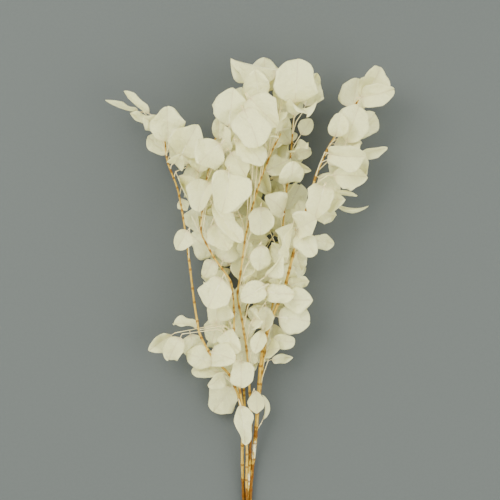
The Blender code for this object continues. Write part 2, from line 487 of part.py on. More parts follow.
def grow_leaf(garden, branch, shoot, root, along, length, roll, fold, wide, seed, free, tries=LEAF_TRIES):
    """Adds one leaf as near to its natural place as the others let it be. Returns it, or None."""
    draw = random.Random(seed)
    own = [s for s in garden.solids if s.branch == branch and s.shoot == shoot]
    for attempt in range(tries):
        loose = math.radians(2.0 + 2.6 * attempt if free else 1.2 * attempt)
        heading = along.copy()
        heading.rotate(Quaternion(along.cross(Vector((0, 0, 1))).normalized(), draw.gauss(0, loose * 0.5)))
        heading.rotate(Quaternion((0, 0, 1), draw.gauss(0, loose * 0.7)))
        size = length * (1 - 0.009 * attempt)
        leaf = turned_leaf(root, heading, size, roll + draw.gauss(0, loose), fold, wide, draw)
        if leaf.base.z < 0.002 or (leaf.base + leaf.along * leaf.length).z < -DEEPEST_BEND:
            continue
        rim = blade_points(leaf, (0.2, 0.2, 0.5, 0.5, 0.8, 0.8, 1.0), (-1, 1, -1, 1, -1, 1, 0))
        if free and not all(inside_outline(x, y) for x, y, _ in rim):
            continue
        coarse = leaf_mesh(leaf, rows_of(leaf), ACROSS, BLADE_THICKNESS + 2 * CLEARANCE, CLEARANCE, ROOT_SKIP)
        wish = Solid(branch, None, *coarse)
        if garden.crosses(wish, "tree", lambda s: s in own):
            continue
        blade = BVHTree.FromPolygons(coarse[0], [f for f in coarse[1] if min(f) >= 3])
        if any(blade.overlap(s.tree) for s in own):
            continue
        fine = leaf_mesh(leaf, TEST_ROWS, TEST_ACROSS, BLADE_THICKNESS + CLEARANCE, CLEARANCE / 2, ROOT_SKIP)
        wish = Solid(branch, None, *coarse, fine)
        if garden.crosses(wish, "finer", lambda s: s in own) or (free and garden.shades(wish)):
            continue
        coarse = leaf_mesh(leaf, rows_of(leaf), ACROSS, BLADE_THICKNESS)
        fine = leaf_mesh(leaf, TEST_ROWS, TEST_ACROSS, BLADE_THICKNESS)
        garden.solids.append(Solid(branch, None, *coarse, fine))
        if not free:
            garden.open_spots += [Vector(p) for p in blade_points(leaf, (0.3, 0.55, 0.8), (0, 0, 0))]
        return leaf
    return None


def grow_shoot(garden, branch, number, start, heading, shoot):
    """Adds a side shoot, raised or lowered until it is clear of the other branches."""
    for lift in (0, 3, -3, 6, -6, 9, -9, 12, -12, 16, -16, 20, -20, 26, -26):
        tip = Vector(shoot.tip) + Vector((0, 0, lift * 0.001))
        route = shoot_route(start, heading, tip)
        if min(p.z for p in route) < 0.004:
            continue
        share = [k / SHOOT_STEPS for k in range(SHOOT_STEPS + 1)]
        radii = [SHOOT_ROOT_RADIUS + (SHOOT_TIP_RADIUS - SHOOT_ROOT_RADIUS) * f for f in share]
        wide = Solid(branch, number, *tube(route, [r + CLEARANCE for r in radii], SHOOT_SIDES))
        if not garden.crosses(wide, "tree", lambda s: s.branch == branch):
            garden.solids.append(Solid(branch, number, *tube(route, radii, SHOOT_SIDES)))
            return route
    return None


def point_along(route, share):
    """The point at this share of a route, and the direction there."""
    place = share * (len(route) - 1)
    k = min(int(place), len(route) - 2)
    return route[k].lerp(route[k + 1], place - k), (route[k + 1] - route[k]).normalized()


def side_leaf_heading(heading, turn, draw):
    """A leaf's direction off its shoot: out to one side, and a little up or down."""
    out = heading.copy()
    out.rotate(Quaternion((0, 0, 1), turn * math.radians(draw.uniform(38, 82))))
    lean = Quaternion(out.cross(Vector((0, 0, 1))).normalized(), math.radians(draw.uniform(-30, 36)))
    out.rotate(lean)
    return out


def wild_fold(draw):
    """Most blades are nearly flat, and one in five is folded along its rib."""
    return math.radians(draw.uniform(44, 66) if draw.random() < 0.2 else draw.uniform(6, 30))


def end_leaf_wish(name, number, shoot, twig, seed):
    """The leaf at the end of a shoot. An aimed one comes before all others and keeps its place."""
    draw = random.Random(seed)
    end = twig[-1] - (twig[-1] - twig[-2]).normalized() * 0.001
    if not shoot.aim:
        roll = draw.gauss(0, 0.4)
        fold = wild_fold(draw)
        return 1, name, number, end, twig[-1] - twig[-2], shoot.length, roll, fold, None, seed, True
    lift = Vector((0, 0, twig[-1].z - shoot.tip[2]))
    toward = Vector(shoot.aim) + lift - end
    roll = math.radians(shoot.roll) if shoot.roll is not None else 0.2
    fold = math.radians(shoot.fold) if shoot.fold is not None else 0.2
    return 0, name, number, end, toward, toward.length, roll, fold, shoot.wide, seed, False


def grow_bunch():
    """Grows every branch. Returns the garden, and each branch's routes and leaves."""
    garden, grown = Garden(), {}
    for name, branch in BRANCHES.items():
        route = smooth_route(branch.route, STEM_STEP)
        fall = [k / (len(route) - 1) for k in range(len(route))]
        radii = [branch.butt_radius + (branch.top_radius - branch.butt_radius) * f**0.8 for f in fall]
        garden.solids.append(Solid(name, "stem", *tube(route, radii, STEM_SIDES)))
        grown[name] = {"stem": (route, radii), "shoots": [], "leaves": []}
        for low, high in branch.seen:
            count = max(2, round((high - low) / 0.006))
            heights = [low + (high - low) * k / count for k in range(count + 1)]
            garden.open_spots += [spot_at_height(route, height)[0] for height in heights]
    for name, branch in BRANCHES.items():
        route = grown[name]["stem"][0]
        for number, shoot in enumerate(branch.shoots):
            start, heading = spot_at_height(route, shoot.height)
            twig = grow_shoot(garden, name, number, start, heading, shoot)
            if twig:
                grown[name]["shoots"].append((number, shoot, twig))
    wishes = []
    for order, (name, branch) in enumerate(BRANCHES.items()):
        for number, shoot, twig in grown[name]["shoots"]:
            seed = GROWTH_SEED + 1000 * order + 20 * number
            draw = random.Random(seed)
            wishes.append(end_leaf_wish(name, number, shoot, twig, seed))
            for k in range(1, shoot.leaves):
                root, heading = point_along(twig, 1 - 0.75 * k / shoot.leaves)
                along = side_leaf_heading(heading, 1 if (k + number) % 2 else -1, draw)
                size = shoot.length * draw.uniform(0.85, 1.08)
                roll = draw.gauss(0, 0.4)
                fold = wild_fold(draw)
                wishes.append((1 + k, name, number, root, along, size, roll, fold, None, seed + k, True))
        route = grown[name]["stem"][0]
        draw = random.Random(GROWTH_SEED + 1000 * order + 900)
        for k in range(branch.crown.leaves):
            height = route[-1].y - (route[-1].y - branch.crown.start) * k / branch.crown.leaves
            root, heading = spot_at_height(route, height)
            along = heading if k == 0 else side_leaf_heading(heading, 1 if k % 2 else -1, draw)
            root = root - heading * 0.001 if k == 0 else root
            size = branch.crown.length * draw.uniform(0.85, 1.08)
            seed = GROWTH_SEED + 1000 * order + 900 + k
            roll = draw.gauss(0, 0.4)
            fold = wild_fold(draw)
            wishes.append((1 + k % 4, name, "stem", root, along, size, roll, fold, None, seed, True))
    for wish in sorted(wishes, key=lambda w: w[0]):
        leaf = grow_leaf(garden, *wish[1:])
        if leaf:
            grown[wish[1]]["leaves"].append(leaf)
    for turn, (step, shortest, most) in enumerate(GAP_ROUNDS, 1):
        fill_gaps(garden, grown, turn, step, shortest, most)
    return garden, grown


def fill_gaps(garden, grown, turn, step, shortest, most):
    """Where light falls through the leaves, the nearest shoot puts out one more."""
    draw = random.Random(GROWTH_SEED + turn)
    roots = []
    for name, parts in grown.items():
        for number, _, twig in parts["shoots"]:
            roots += [(name, number, point_along(twig, k / 6)[0]) for k in range(1, 6)]
        stem = parts["stem"][0]
        upper = [(a, b) for a, b in zip(stem, stem[1:]) if a.y > 0.12]
        roots += [(name, "stem", a.lerp(b, f)) for a, b in upper for f in (0.25, 0.5, 0.75)]
    xs = np.arange(-0.205, 0.206, step)
    spots = [(x, y) for y in np.arange(0.085, 0.625, step) for x in xs if inside_outline(x, y)]
    draw.shuffle(spots)
    added = 0
    for x, y in spots:
        if added == most or garden.covered(x, y):
            continue
        near = [(abs(math.hypot(r.x - x, r.y - y) - 0.028), name, number, r) for name, number, r in roots]
        for off, name, number, root in sorted(near, key=lambda n: n[0])[:5]:
            away = Vector((x - root.x, y - root.y, draw.uniform(-0.008, 0.010)))
            if off > 0.016 or away.length < 0.012:
                continue
            length = min(max(away.length / 0.56, shortest), 0.070)
            fold = math.radians(draw.uniform(4, 24))
            seed = GROWTH_SEED + 9000 * turn + added
            away.normalize()
            leaf = grow_leaf(garden, name, number, root, away, length, 0.0, fold, None, seed, True, GAP_TRIES)
            if leaf:
                grown[name]["leaves"].append(leaf)
                added += 1
                break


def body(name, verts, faces, shift):
    mesh = bpy.data.meshes.new(name)
    mesh.from_pydata([Vector(v) + shift for v in verts], [], faces)
    thing = bpy.data.objects.new(name, mesh)
    bpy.context.scene.collection.objects.link(thing)
    return thing


def bleached_material(name):
    """Cream, papery and dull, as a bleached leaf is."""
    material = bpy.data.materials.new(name)
    material.use_nodes = True
    shader = material.node_tree.nodes["Principled BSDF"]
    shader.inputs["Base Color"].default_value = (0.68, 0.64, 0.47, 1)
    shader.inputs["Roughness"].default_value = 0.8
    shader.inputs["Metallic"].default_value = 0.0
    return material


def fused_branch(name, garden, shift):
    """One body of a branch's stem, shoots and leaves."""
    mine = [s for s in garden.solids if s.branch == name]
    stem = body(name, mine[0].verts, mine[0].faces, shift)
    growth = bpy.data.collections.new(name + "_growth")
    bpy.context.scene.collection.children.link(growth)
    for solid in mine[1:]:
        piece = body(name + "_piece", solid.verts, solid.faces, shift)
        bpy.context.scene.collection.objects.unlink(piece)
        growth.objects.link(piece)
    join = stem.modifiers.new("join", "BOOLEAN")
    join.operation = "UNION"
    join.solver = "MANIFOLD"
    join.operand_type = "COLLECTION"
    join.collection = growth
    bpy.context.view_layer.update()
    joined = bpy.data.meshes.new_from_object(stem.evaluated_get(bpy.context.evaluated_depsgraph_get()))
    stem.modifiers.clear()
    stem.data = joined
    for piece in list(growth.objects):
        bpy.data.objects.remove(piece)
    bpy.data.collections.remove(growth)
    stem.data.materials.clear()
    stem.data.materials.append(bleached_material(name))
    return stem


def main():
    for thing in list(bpy.data.objects):
        bpy.data.objects.remove(thing)
    garden, _ = grow_bunch()
    low, high = garden.box()
    shift = Vector((-(low[0] + high[0]) / 2, -(low[1] + high[1]) / 2, -low[2]))
    for name in BRANCHES:
        fused_branch(name, garden, shift)


main()
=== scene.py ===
"""Looks of the bleached eucalyptus bunch, grown again from the same rule as its solids.

Every branch gets two pieces: its leaves, bent from one closed pad by a node tree, and its woody
stem and shoots, swept as round tubes by another. Lengths are in metres, but in millimetres in the
tables of the branches and of the outline.
"""

import json
import math
import random
from collections import namedtuple
from functools import partialmethod

import bpy
import numpy as np
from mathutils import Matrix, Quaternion, Vector
from mathutils.bvhtree import BVHTree

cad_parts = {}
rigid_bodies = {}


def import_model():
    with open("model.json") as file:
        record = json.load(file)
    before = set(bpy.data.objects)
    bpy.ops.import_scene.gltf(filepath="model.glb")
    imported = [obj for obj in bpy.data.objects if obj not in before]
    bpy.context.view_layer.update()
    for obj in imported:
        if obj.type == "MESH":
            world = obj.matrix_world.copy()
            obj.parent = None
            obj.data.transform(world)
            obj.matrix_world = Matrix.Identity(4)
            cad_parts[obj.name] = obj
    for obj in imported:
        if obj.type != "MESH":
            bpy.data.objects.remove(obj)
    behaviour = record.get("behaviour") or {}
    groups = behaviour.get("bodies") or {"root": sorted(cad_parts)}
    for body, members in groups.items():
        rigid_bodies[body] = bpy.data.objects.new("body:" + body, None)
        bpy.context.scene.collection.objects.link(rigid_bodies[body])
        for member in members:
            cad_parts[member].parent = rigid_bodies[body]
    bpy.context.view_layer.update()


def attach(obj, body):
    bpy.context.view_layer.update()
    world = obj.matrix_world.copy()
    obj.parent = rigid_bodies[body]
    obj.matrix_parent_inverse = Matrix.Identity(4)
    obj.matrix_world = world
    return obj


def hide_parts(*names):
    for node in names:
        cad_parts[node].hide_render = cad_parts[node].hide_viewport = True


for thing in list(bpy.data.objects):
    bpy.data.objects.remove(thing)
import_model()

BLADE_THICKNESS = 0.0007
PETIOLE_RADIUS = 0.0008
PETIOLE_ROOT_RADIUS = 0.00045
PETIOLE_SHARE = 0.17  # of the blade's length
SHOOT_ROOT_RADIUS = 0.0013
SHOOT_TIP_RADIUS = 0.0009
CLEARANCE = 0.0004
TABLE_GIVE = 0.006  # below this height a leaf bends to lie along the table
STIFF_FOLD = 0.8  # radians: a blade that is folded further than this hardly curls along its rib
DEEPEST_BEND = 0.022  # a blade that would reach further below the table turns away instead
ROOT_SKIP = 0.004  # petioles that leave the same joint may touch over this length

# Places of the rows of a blade from base to tip, and of the points of a row from left to right.
ROWS = (0.15, 0.50, 0.85)
SMALL_ROWS = (0.24, 0.74)
ACROSS = (-1, 0, 1)
SMALL_BLADE = 0.040
TEST_ROWS = (0.05, 0.16, 0.33, 0.50, 0.67, 0.84, 0.95)
TEST_ACROSS = (-1, -0.5, 0, 0.5, 1)

STEM_SIDES = 6
SHOOT_SIDES = 4
STEM_STEP = 0.038  # length of one straight run of a stem
SHOOT_STEPS = 2
STEM_TAPER = 0.8  # below 1 a stem thins out more near its foot than near its top
LOWEST_SHOOT = 0.004
SHOOT_LIFTS = (0, 3, -3, 6, -6, 9, -9, 12, -12, 16, -16, 20, -20, 26, -26)  # millimetres, as tried
END_LEAF_SINK = 0.001  # how far the root of an end leaf lies inside its twig
LOWEST_BLADE_FOOT = 0.002
LEAF_TRIES = 30
GROWTH_SEED = 41
SEEN_GAP = 0.006  # spacing of the spots of a bare stretch of stem that stay open to the sky
SKY = 0.4  # a height above everything

# Rounds of gap filling: spacing of the spots that are searched, shortest leaf, most leaves.
GAP_ROUNDS = ((0.011, 0.046, 70), (0.008, 0.034, 28))
GAP_TRIES = 10
LONGEST_FILLER = 0.070
LOWEST_FILLER = 0.12  # no leaf is added to a stem below this
FILLER_REACH = 0.028  # the best distance between a gap and the root of its leaf, seen from above
FILLER_SLACK = 0.016
LEAST_REACH = 0.012
FILLER_MIDDLE = 0.56  # share of its length at which the leaf lies over the gap
NEAREST_ROOTS = 5

# Drawn leaves. A pad of rows by columns is bent into each blade.
LEAF_ARROWS = ("base", "along", "across", "normal")
LEAF_NUMBERS = ("length", "width", "round", "broad", "fold", "cup", "curl", "wave", "phase")
BLADE_ROWS = 23
BLADE_COLUMNS = 15
BLUNT_END = 0.0006  # share of the length where the blade's first and last rows lie
MIDDLE_CROWDING = 1.35  # above 1 the columns crowd towards the rib
TINY_STEP = 0.02  # share of a blade over which its slope is measured
MIDDLE_THICKNESS = 0.00042
RIM_THICKNESS = 0.0002
PUCKER = 0.0018
NIBBLE = 0.70  # how much narrower the rim is where it is worn
SLENDER = (0.35, 0.80)  # widths over length between which a blade begins to pucker
SIDE_VEIN_GAP = 0.0052
NET_VEIN_GAP = 0.0016
RIB_SHARES = (0.04, 0.12, 0.24, 0.40, 0.56, 0.72)
STALK_RADII = (
    0.00080, 0.00072, 0.00048, 0.00048, 0.00044, 0.00040, 0.00034, 0.00028, 0.00022, 0.00012,
)
RIB_PALENESS = (0.0, 0.1, 0.3, 0.5, 0.7, 1.0, 1.0, 1.0, 1.0, 1.0)
STALK_SIDES = 6

# Drawn twigs.
TWIG_SIDES = 12
TWIG_STEP = 0.0024
STEM_ROUNDING = 0.010
SHOOT_ROUNDING = 0.004
JOINT_GAP = 0.022
JOINT_REACH = 0.0026
JOINT_SWELLING = 0.0006
SHOOT_SLIMNESS = 0.55  # share of a shoot's radius that is drawn between its joints
SHOOT_PALENESS = 0.45  # how much closer to cream than the stem a shoot is at its foot
TWIG_LOOKS = ("joint", "bark", "peeled", "cut_end", "pale")
BARK_RELIEF = 0.0009
BARK_FADE = 0.016  # length over which the bark ends
BARK_GRAIN = (420.0, 90.0, 420.0)  # lumps per metre, fewer along the branch
FIBRE_GRAIN = (1.0, 0.14, 1.0)

# Finishes: linear red, green and blue.
PALE_CREAM = (0.890, 0.905, 0.495, 1)
SHADED_CREAM = (0.75, 0.735, 0.40, 1)
VEIN_CREAM = (0.92, 0.935, 0.58, 1)
GLOW_CREAM = (0.94, 0.875, 0.61, 1)
RIB_OCHRE = (0.62, 0.52, 0.30, 1)
RIM_TAN = (0.60, 0.52, 0.34, 1)
SPECK_BROWN = (0.40, 0.27, 0.12, 1)
STALK_OCHRE = (0.52, 0.36, 0.12, 1)
RIB_CREAM = (0.84, 0.83, 0.52, 1)
TWIG_OCHRE = (0.27, 0.145, 0.011, 1)
TWIG_STRAW = (0.45, 0.31, 0.050, 1)
TWIG_CREAM = (0.74, 0.68, 0.36, 1)
BARK_BROWN = (0.080, 0.026, 0.0012, 1)
BARK_RUST = (0.17, 0.062, 0.004, 1)
PEELED_WOOD = (0.58, 0.54, 0.30, 1)
JOINT_BROWN = (0.11, 0.034, 0.0014, 1)
FLOOR_GREY = (0.053, 0.059, 0.052, 1)
FLOOR_PALE = (0.062, 0.068, 0.060, 1)
LIGHT_THROUGH = 0.56  # share of the light on a blade that comes out behind it

# Studio. The camera's frame is FRAME_SIZE wide at the height of FRAME_MIDDLE.
FRAME_MIDDLE = (0.0, 0.350, 0.060)
FRAME_SIZE = 0.700
LENS = 100.0
SENSOR = 36.0
LAMPS = (  # name, place, size, power
    ("key_light", (-1.3, 1.1, 2.2), 1.6, 112.0),
    ("fill_light", (1.9, -0.6, 2.0), 2.2, 84.0),
)
AIR_COLOUR = (0.92, 0.96, 1.0, 1.0)
AIR_LIGHT = 2.55
FLOOR_SIZE = 16.0

# height: where on the stem the shoot leaves it. tip: the shoot's end. length: of its leaves.
# aim: where its end leaf's tip reaches, or None for straight on. roll, fold: the end leaf's turn
# about its rib and fold along it, in degrees. wide: its width over length. None stands for any.
Shoot = namedtuple("Shoot", "height tip leaves length aim roll fold wide", defaults=(None,) * 3)
# radii: at the cut end and the top. crown: the height where the stem's own leaves begin, and their
# length. The others are stretches of the stem as pairs of heights: seen, where no leaf covers it
# from above, bark, where brown bark is left, and peeled, where it is peeled to pale wood.
Branch = namedtuple("Branch", "radii crown crown_leaves seen bark peeled route shoots")
# round: the lower, the blunter the blade's outline. broad: below 1 it is broadest near its base.
Leaf = namedtuple("Leaf", ("root", *LEAF_ARROWS, *LEAF_NUMBERS))
BRANCHES = {}
UP = Vector((0, 0, 1))


def metres(value):
    """A length in millimetres, or nested tuples of them, in metres."""
    if isinstance(value, tuple):
        return tuple(metres(part) for part in value)
    return value and round(value / 1000, 6)


def side_shoot(height, tip, leaves, length, aim=None, *turns):
    """A side shoot that is given in millimetres. The turns are roll, fold and wide."""
    return Shoot(metres(height), metres(tip), leaves, metres(length), metres(aim), *turns)


def add_branch(name, crown_leaves, shoots, **lengths):
    """Notes a branch that is given in millimetres."""
    lengths = {key: metres(value) for key, value in lengths.items()}
    shoots = [side_shoot(*shoot) for shoot in shoots]
    BRANCHES[name] = Branch(crown_leaves=crown_leaves, shoots=shoots, **lengths)


add_branch(
    "left_branch",
    radii=(2.4, 0.9),
    crown=(440, 54),
    crown_leaves=4,
    seen=((205, 335), (385, 485)),
    bark=((-80, 24),),
    peeled=(),
    route=(
        (-9, -70, 5.5), (-8.3, -35, 5.8), (-8.8, 0, 7.5), (-11.5, 35, 12.5), (-10.5, 75, 20.5),
        (-11, 105, 27.5), (-15, 140, 37), (-28, 175, 52), (-53, 200, 68), (-66, 222, 74),
        (-74, 245, 77), (-77, 268, 79), (-76, 292, 80), (-84, 325, 80), (-87, 350, 79),
        (-88, 380, 76), (-98, 412, 73), (-99.5, 431, 72), (-105.5, 452, 71), (-115, 468, 70),
        (-116.5, 495, 69), (-120, 520, 67),
    ),
    shoots=(
        (505, (-134, 537, 74), 1, 46, (-174, 573, 84), 46, 40, 0.55),
        (495, (-150, 544, 58), 1, 50, (-203, 562, 60), 74, 40, 0.5),
        (480, (-137, 524, 62), 2, 46, (-168, 541, 60), 20, 30, 0.6),
        (480, (-112, 492, 84), 2, 58, (-114, 548, 94), 8, 14, 1.1),
        (462, (-98, 474, 78), 2, 58, (-72, 525, 84), 0, 12, 1.1),
        (470, (-108, 486, 62), 2, 56, (-146, 512, 58), 14, 16, 0.9),
        (450, (-88, 466, 62), 3, 58),
        (425, (-82, 446, 52), 3, 56),
        (405, (-99, 424, 60), 1, 22, (-88, 404, 58)),
        (335, (-83, 382, 90), 1, 42, (-101, 350, 98), -14, 18, 1.0),
        (160, (-46, 192, 48), 2, 52, (-92, 206, 46), 0, 8, 0.9),
        (140, (-40, 176, 38), 2, 50, (-86, 178, 34), 18, 26, 0.7),
        (115, (-22, 160, 32), 2, 58, (-54, 116, 24), 0, 12, 1.1),
    ),
)
add_branch(
    "centre_left_branch",
    radii=(1.8, 0.9),
    crown=(370, 56),
    crown_leaves=6,
    seen=((130, 160), (270, 345)),
    bark=((-80, 12),),
    peeled=(),
    route=(
        (-2, -66, 14.8), (-3, -35, 14.7), (-5, 0, 18), (-5.2, 35, 25.5), (-4, 70, 33),
        (-7, 110, 41), (-14, 150, 50), (-20, 190, 58), (-23, 230, 66), (-22, 265, 73),
        (-21, 292, 78), (-32, 320, 82), (-46, 336, 84), (-59, 345, 84), (-67, 360, 82),
        (-69, 390, 78), (-64, 425, 73), (-58, 462, 69), (-50, 500, 64), (-42, 528, 60),
    ),
    shoots=(
        (270, (-36, 318, 90), 2, 56, (-58, 270, 96), 0, 8, 1.1),
        (290, (-50, 340, 66), 3, 52, (-64, 312, 64), 0, 10, 1.0),
        (348, (-58, 424, 108), 2, 66, (-10, 360, 104), -18, 30, 0.5),
        (350, (-50, 394, 92), 2, 64, (-28, 340, 92), 0, 8, 1.1),
        (360, (-82, 398, 62), 3, 46),
        (380, (-50, 448, 98), 2, 66, (-66, 390, 96), 14, 26, 1.1),
        (395, (-28, 464, 112), 2, 68, (-40, 396, 122), -12, 22, 1.1),
        (415, (-74, 452, 84), 3, 60, (-62, 498, 92), 0, 14, 1.0),
        (440, (-30, 490, 100), 3, 64, (-6, 446, 108), 18, 28, 1.0),
        (450, (-34, 500, 112), 2, 68, (-42, 432, 124), 0, 8, 1.2),
        (470, (-30, 512, 92), 2, 64, (-22, 574, 98), 0, 12, 1.0),
        (480, (-44, 500, 72), 1, 40, (-44, 534, 72), 10, 16, 0.8),
        (225, (-106, 233, 44), 2, 40, (-143, 207, 46), -20, 30, 0.9),
        (220, (-96, 232, 54), 1, 38, (-114, 194, 44), 10, 14, 0.9),
        (232, (-72, 238, 58), 1, 40, (-110, 244, 64), 44, 36, 0.7),
        (235, (-44, 262, 58), 3, 54, (-54, 218, 52), 0, 14, 0.9),
        (150, (-12, 202, 76), 1, 50, (-12, 156, 80), 0, 8, 1.0),
        (110, (-16, 142, 62), 1, 64, (-9, 76, 58), -24, 34, 0.62),
    ),
)
add_branch(
    "centre_branch",
    radii=(2, 0.9),
    crown=(400, 54),
    crown_leaves=4,
    seen=((208, 228), (300, 322), (350, 508)),
    bark=((-80, 4), (46, 90), (104, 114)),
    peeled=((12, 34),),
    route=(
        (-6.2, -74, 10.8), (-5.4, -35, 11.3), (-3.4, 0, 13.5), (-0.8, 40, 19.5), (0.5, 70, 25),
        (1.5, 105, 31), (0, 150, 42), (-3.5, 190, 51), (-5.5, 225, 59), (-12, 255, 64),
        (-18, 280, 68), (-17, 300, 71), (-13, 318, 74), (-10, 345, 77), (-6, 372, 80),
        (-3, 395, 82), (8, 418, 83), (13, 440, 82), (17, 462, 80), (30, 487, 76), (43, 512, 72),
    ),
    shoots=(
        (475, (48, 600, 70), 1, 66, (-27, 616, 76), -80, 80, 1.15),
        (130, (6, 156, 56), 1, 44, (10, 116, 52), 10, 20, 0.8),
        (180, (20, 246, 74), 2, 50, (6, 206, 80), 10, 16, 0.7),
        (215, (22, 278, 70), 2, 48, (18, 232, 68), 10, 24, 0.8),
        (240, (26, 304, 84), 2, 50, (-16, 280, 88), 0, 10, 0.9),
        (270, (20, 312, 80), 3, 50, (44, 344, 88), 30, 34, 0.8),
        (290, (16, 362, 78), 2, 48, (12, 320, 76), -10, 14, 1.0),
        (320, (16, 416, 80), 2, 52, (14, 370, 78), 0, 12, 1.0),
        (360, (-24, 420, 76), 2, 56),
        (375, (-22, 504, 100), 2, 68, (6, 448, 112), 0, 10, 1.0),
        (390, (-12, 548, 108), 2, 68, (12, 484, 120), -8, 22, 1.1),
        (415, (-6, 566, 102), 2, 68, (40, 518, 108), 14, 26, 1.1),
        (440, (10, 534, 88), 2, 66, (-30, 576, 94), 12, 24, 1.1),
        (450, (12, 544, 92), 2, 66, (6, 598, 106), -12, 22, 1.0),
        (470, (18, 566, 58), 2, 68, (15, 626, 54), 0, 14, 1.1),
        (490, (40, 540, 64), 2, 54),
    ),
)
add_branch(
    "centre_right_branch",
    radii=(2, 0.9),
    crown=(330, 54),
    crown_leaves=7,
    seen=((495, 535),),
    bark=((-80, 50),),
    peeled=(),
    route=(
        (-0.4, -64, 2.1), (-1, -35, 2.3), (-0.5, 0, 4), (2, 35, 6.8), (6, 70, 11.5),
        (10, 105, 17.5), (14, 150, 25.5), (20, 200, 34.5), (27, 240, 41), (32, 275, 46),
        (38, 310, 49), (43, 350, 51), (47, 390, 52), (51, 430, 52), (55, 465, 54), (58, 492, 58),
        (63, 520, 62), (62, 545, 64),
    ),
    shoots=(
        (150, (26, 194, 36), 1, 40, (62, 197, 38), 24, 34, 0.7),
        (175, (30, 226, 44), 2, 46, (64, 220, 46), 10, 20, 0.9),
        (205, (34, 258, 64), 2, 54, (85, 250, 68), 0, 14, 1.1),
        (235, (38, 282, 74), 2, 56, (88, 280, 80), 0, 12, 1.0),
        (260, (50, 298, 62), 2, 50, (86, 306, 66), 26, 24, 0.9),
        (290, (50, 330, 36), 3, 50),
        (330, (28, 376, 52), 3, 58),
        (375, (32, 420, 52), 3, 60),
        (420, (36, 466, 62), 3, 60),
        (440, (58, 484, 46), 3, 46, (88, 492, 42), 0, 14, 0.9),
        (480, (70, 510, 52), 2, 46, (87, 536, 50), 0, 14, 0.9),
        (510, (62, 546, 82), 2, 68, (66, 616, 90), 0, 8, 1.1),
        (512, (76, 546, 68), 2, 64, (98, 600, 68), 20, 34, 0.9),
    ),
)
add_branch(
    "right_branch",
    radii=(3.3, 1),
    crown=(470, 52),
    crown_leaves=4,
    seen=((160, 200), (315, 350), (405, 462)),
    bark=((-80, 48), (79, 99)),
    peeled=((50, 78),),
    route=(
        (-1.8, -78, 8), (-0.6, -35, 8.1), (-0.2, 0, 9.8), (3, 35, 14.5), (6.2, 70, 20),
        (8.8, 95, 25), (11, 130, 33), (13, 165, 41), (16, 200, 48), (24, 240, 56), (40, 275, 61),
        (54, 312, 65), (60, 345, 67), (70, 385, 68), (82, 415, 68), (90, 448, 67), (99, 475, 65),
        (118, 507, 62), (138, 540, 59), (152, 560, 57),
    ),
    shoots=(
        (85, (16.5, 104, 24), 1, 30, (15, 146, 30), 60, 30, 0.4),
        (305, (64, 352, 54), 3, 48, (74, 318, 50), 0, 20, 0.9),
        (325, (82, 366, 58), 2, 46, (118, 358, 58), 20, 24, 0.9),
        (345, (62, 398, 82), 2, 58, (52, 336, 86), 60, 50, 0.7),
        (370, (88, 402, 56), 2, 46, (124, 398, 50), 0, 16, 0.9),
        (395, (106, 444, 76), 2, 56, (90, 392, 80), 10, 20, 0.9),
        (400, (110, 428, 62), 1, 48, (153, 422, 64), 74, 40, 0.5),
        (405, (116, 418, 48), 1, 48, (169, 415, 48), 82, 30, 0.4),
        (430, (108, 454, 76), 2, 58, (164, 450, 84), 16, 28, 0.9),
        (448, (104, 486, 80), 2, 64, (164, 480, 90), 20, 34, 1.0),
        (460, (146, 482, 58), 1, 40, (193, 492, 60), 30, 40, 0.6),
        (480, (132, 494, 68), 2, 60, (152, 552, 74), 0, 14, 1.0),
        (500, (144, 504, 52), 2, 54, (176, 542, 50), 0, 12, 1.0),
        (490, (118, 504, 78), 1, 44, (124, 544, 86), 0, 14, 0.9),
        (520, (144, 544, 50), 2, 52, (152, 594, 44), 0, 14, 1.1),
        (535, (158, 562, 66), 2, 52, (182, 607, 68), 14, 24, 1.0),
        (540, (148, 562, 76), 2, 54, (207, 576, 82), 10, 20, 0.8),
    ),
)
add_branch(
    "back_branch",
    radii=(1.8, 0.9),
    crown=(150, 52),
    crown_leaves=9,
    seen=(),
    bark=((-80, 70),),
    peeled=(),
    route=(
        (-6.2, -68, 1.9), (-5.4, -35, 2.1), (-5, 0, 3.2), (-4, 35, 5.5), (-4, 70, 8.5),
        (-6, 110, 12.5), (-9, 150, 17.5), (-10, 200, 23), (-6, 250, 28), (0, 300, 32), (5, 350, 35),
        (8, 400, 37), (6, 450, 38), (0, 500, 39), (-6, 540, 40),
    ),
    shoots=(
        (250, (-50, 366, 14), 2, 56, (-78, 418, -16), 0, 5, 1.0),
        (280, (46, 392, 14), 2, 56, (72, 444, -16), 0, 5, 1.0),
        (450, (-10, 526, 14), 2, 56, (-12, 584, -16), 0, 5, 1.0),
        (150, (-32, 196, 22), 2, 46),
        (230, (-36, 280, 26), 3, 50),
        (290, (-42, 344, 30), 2, 54),
        (320, (30, 366, 30), 2, 54),
        (370, (-42, 414, 36), 3, 54),
        (410, (38, 462, 34), 3, 56),
        (440, (-44, 492, 36), 3, 54),
        (470, (34, 532, 36), 3, 56),
    ),
)
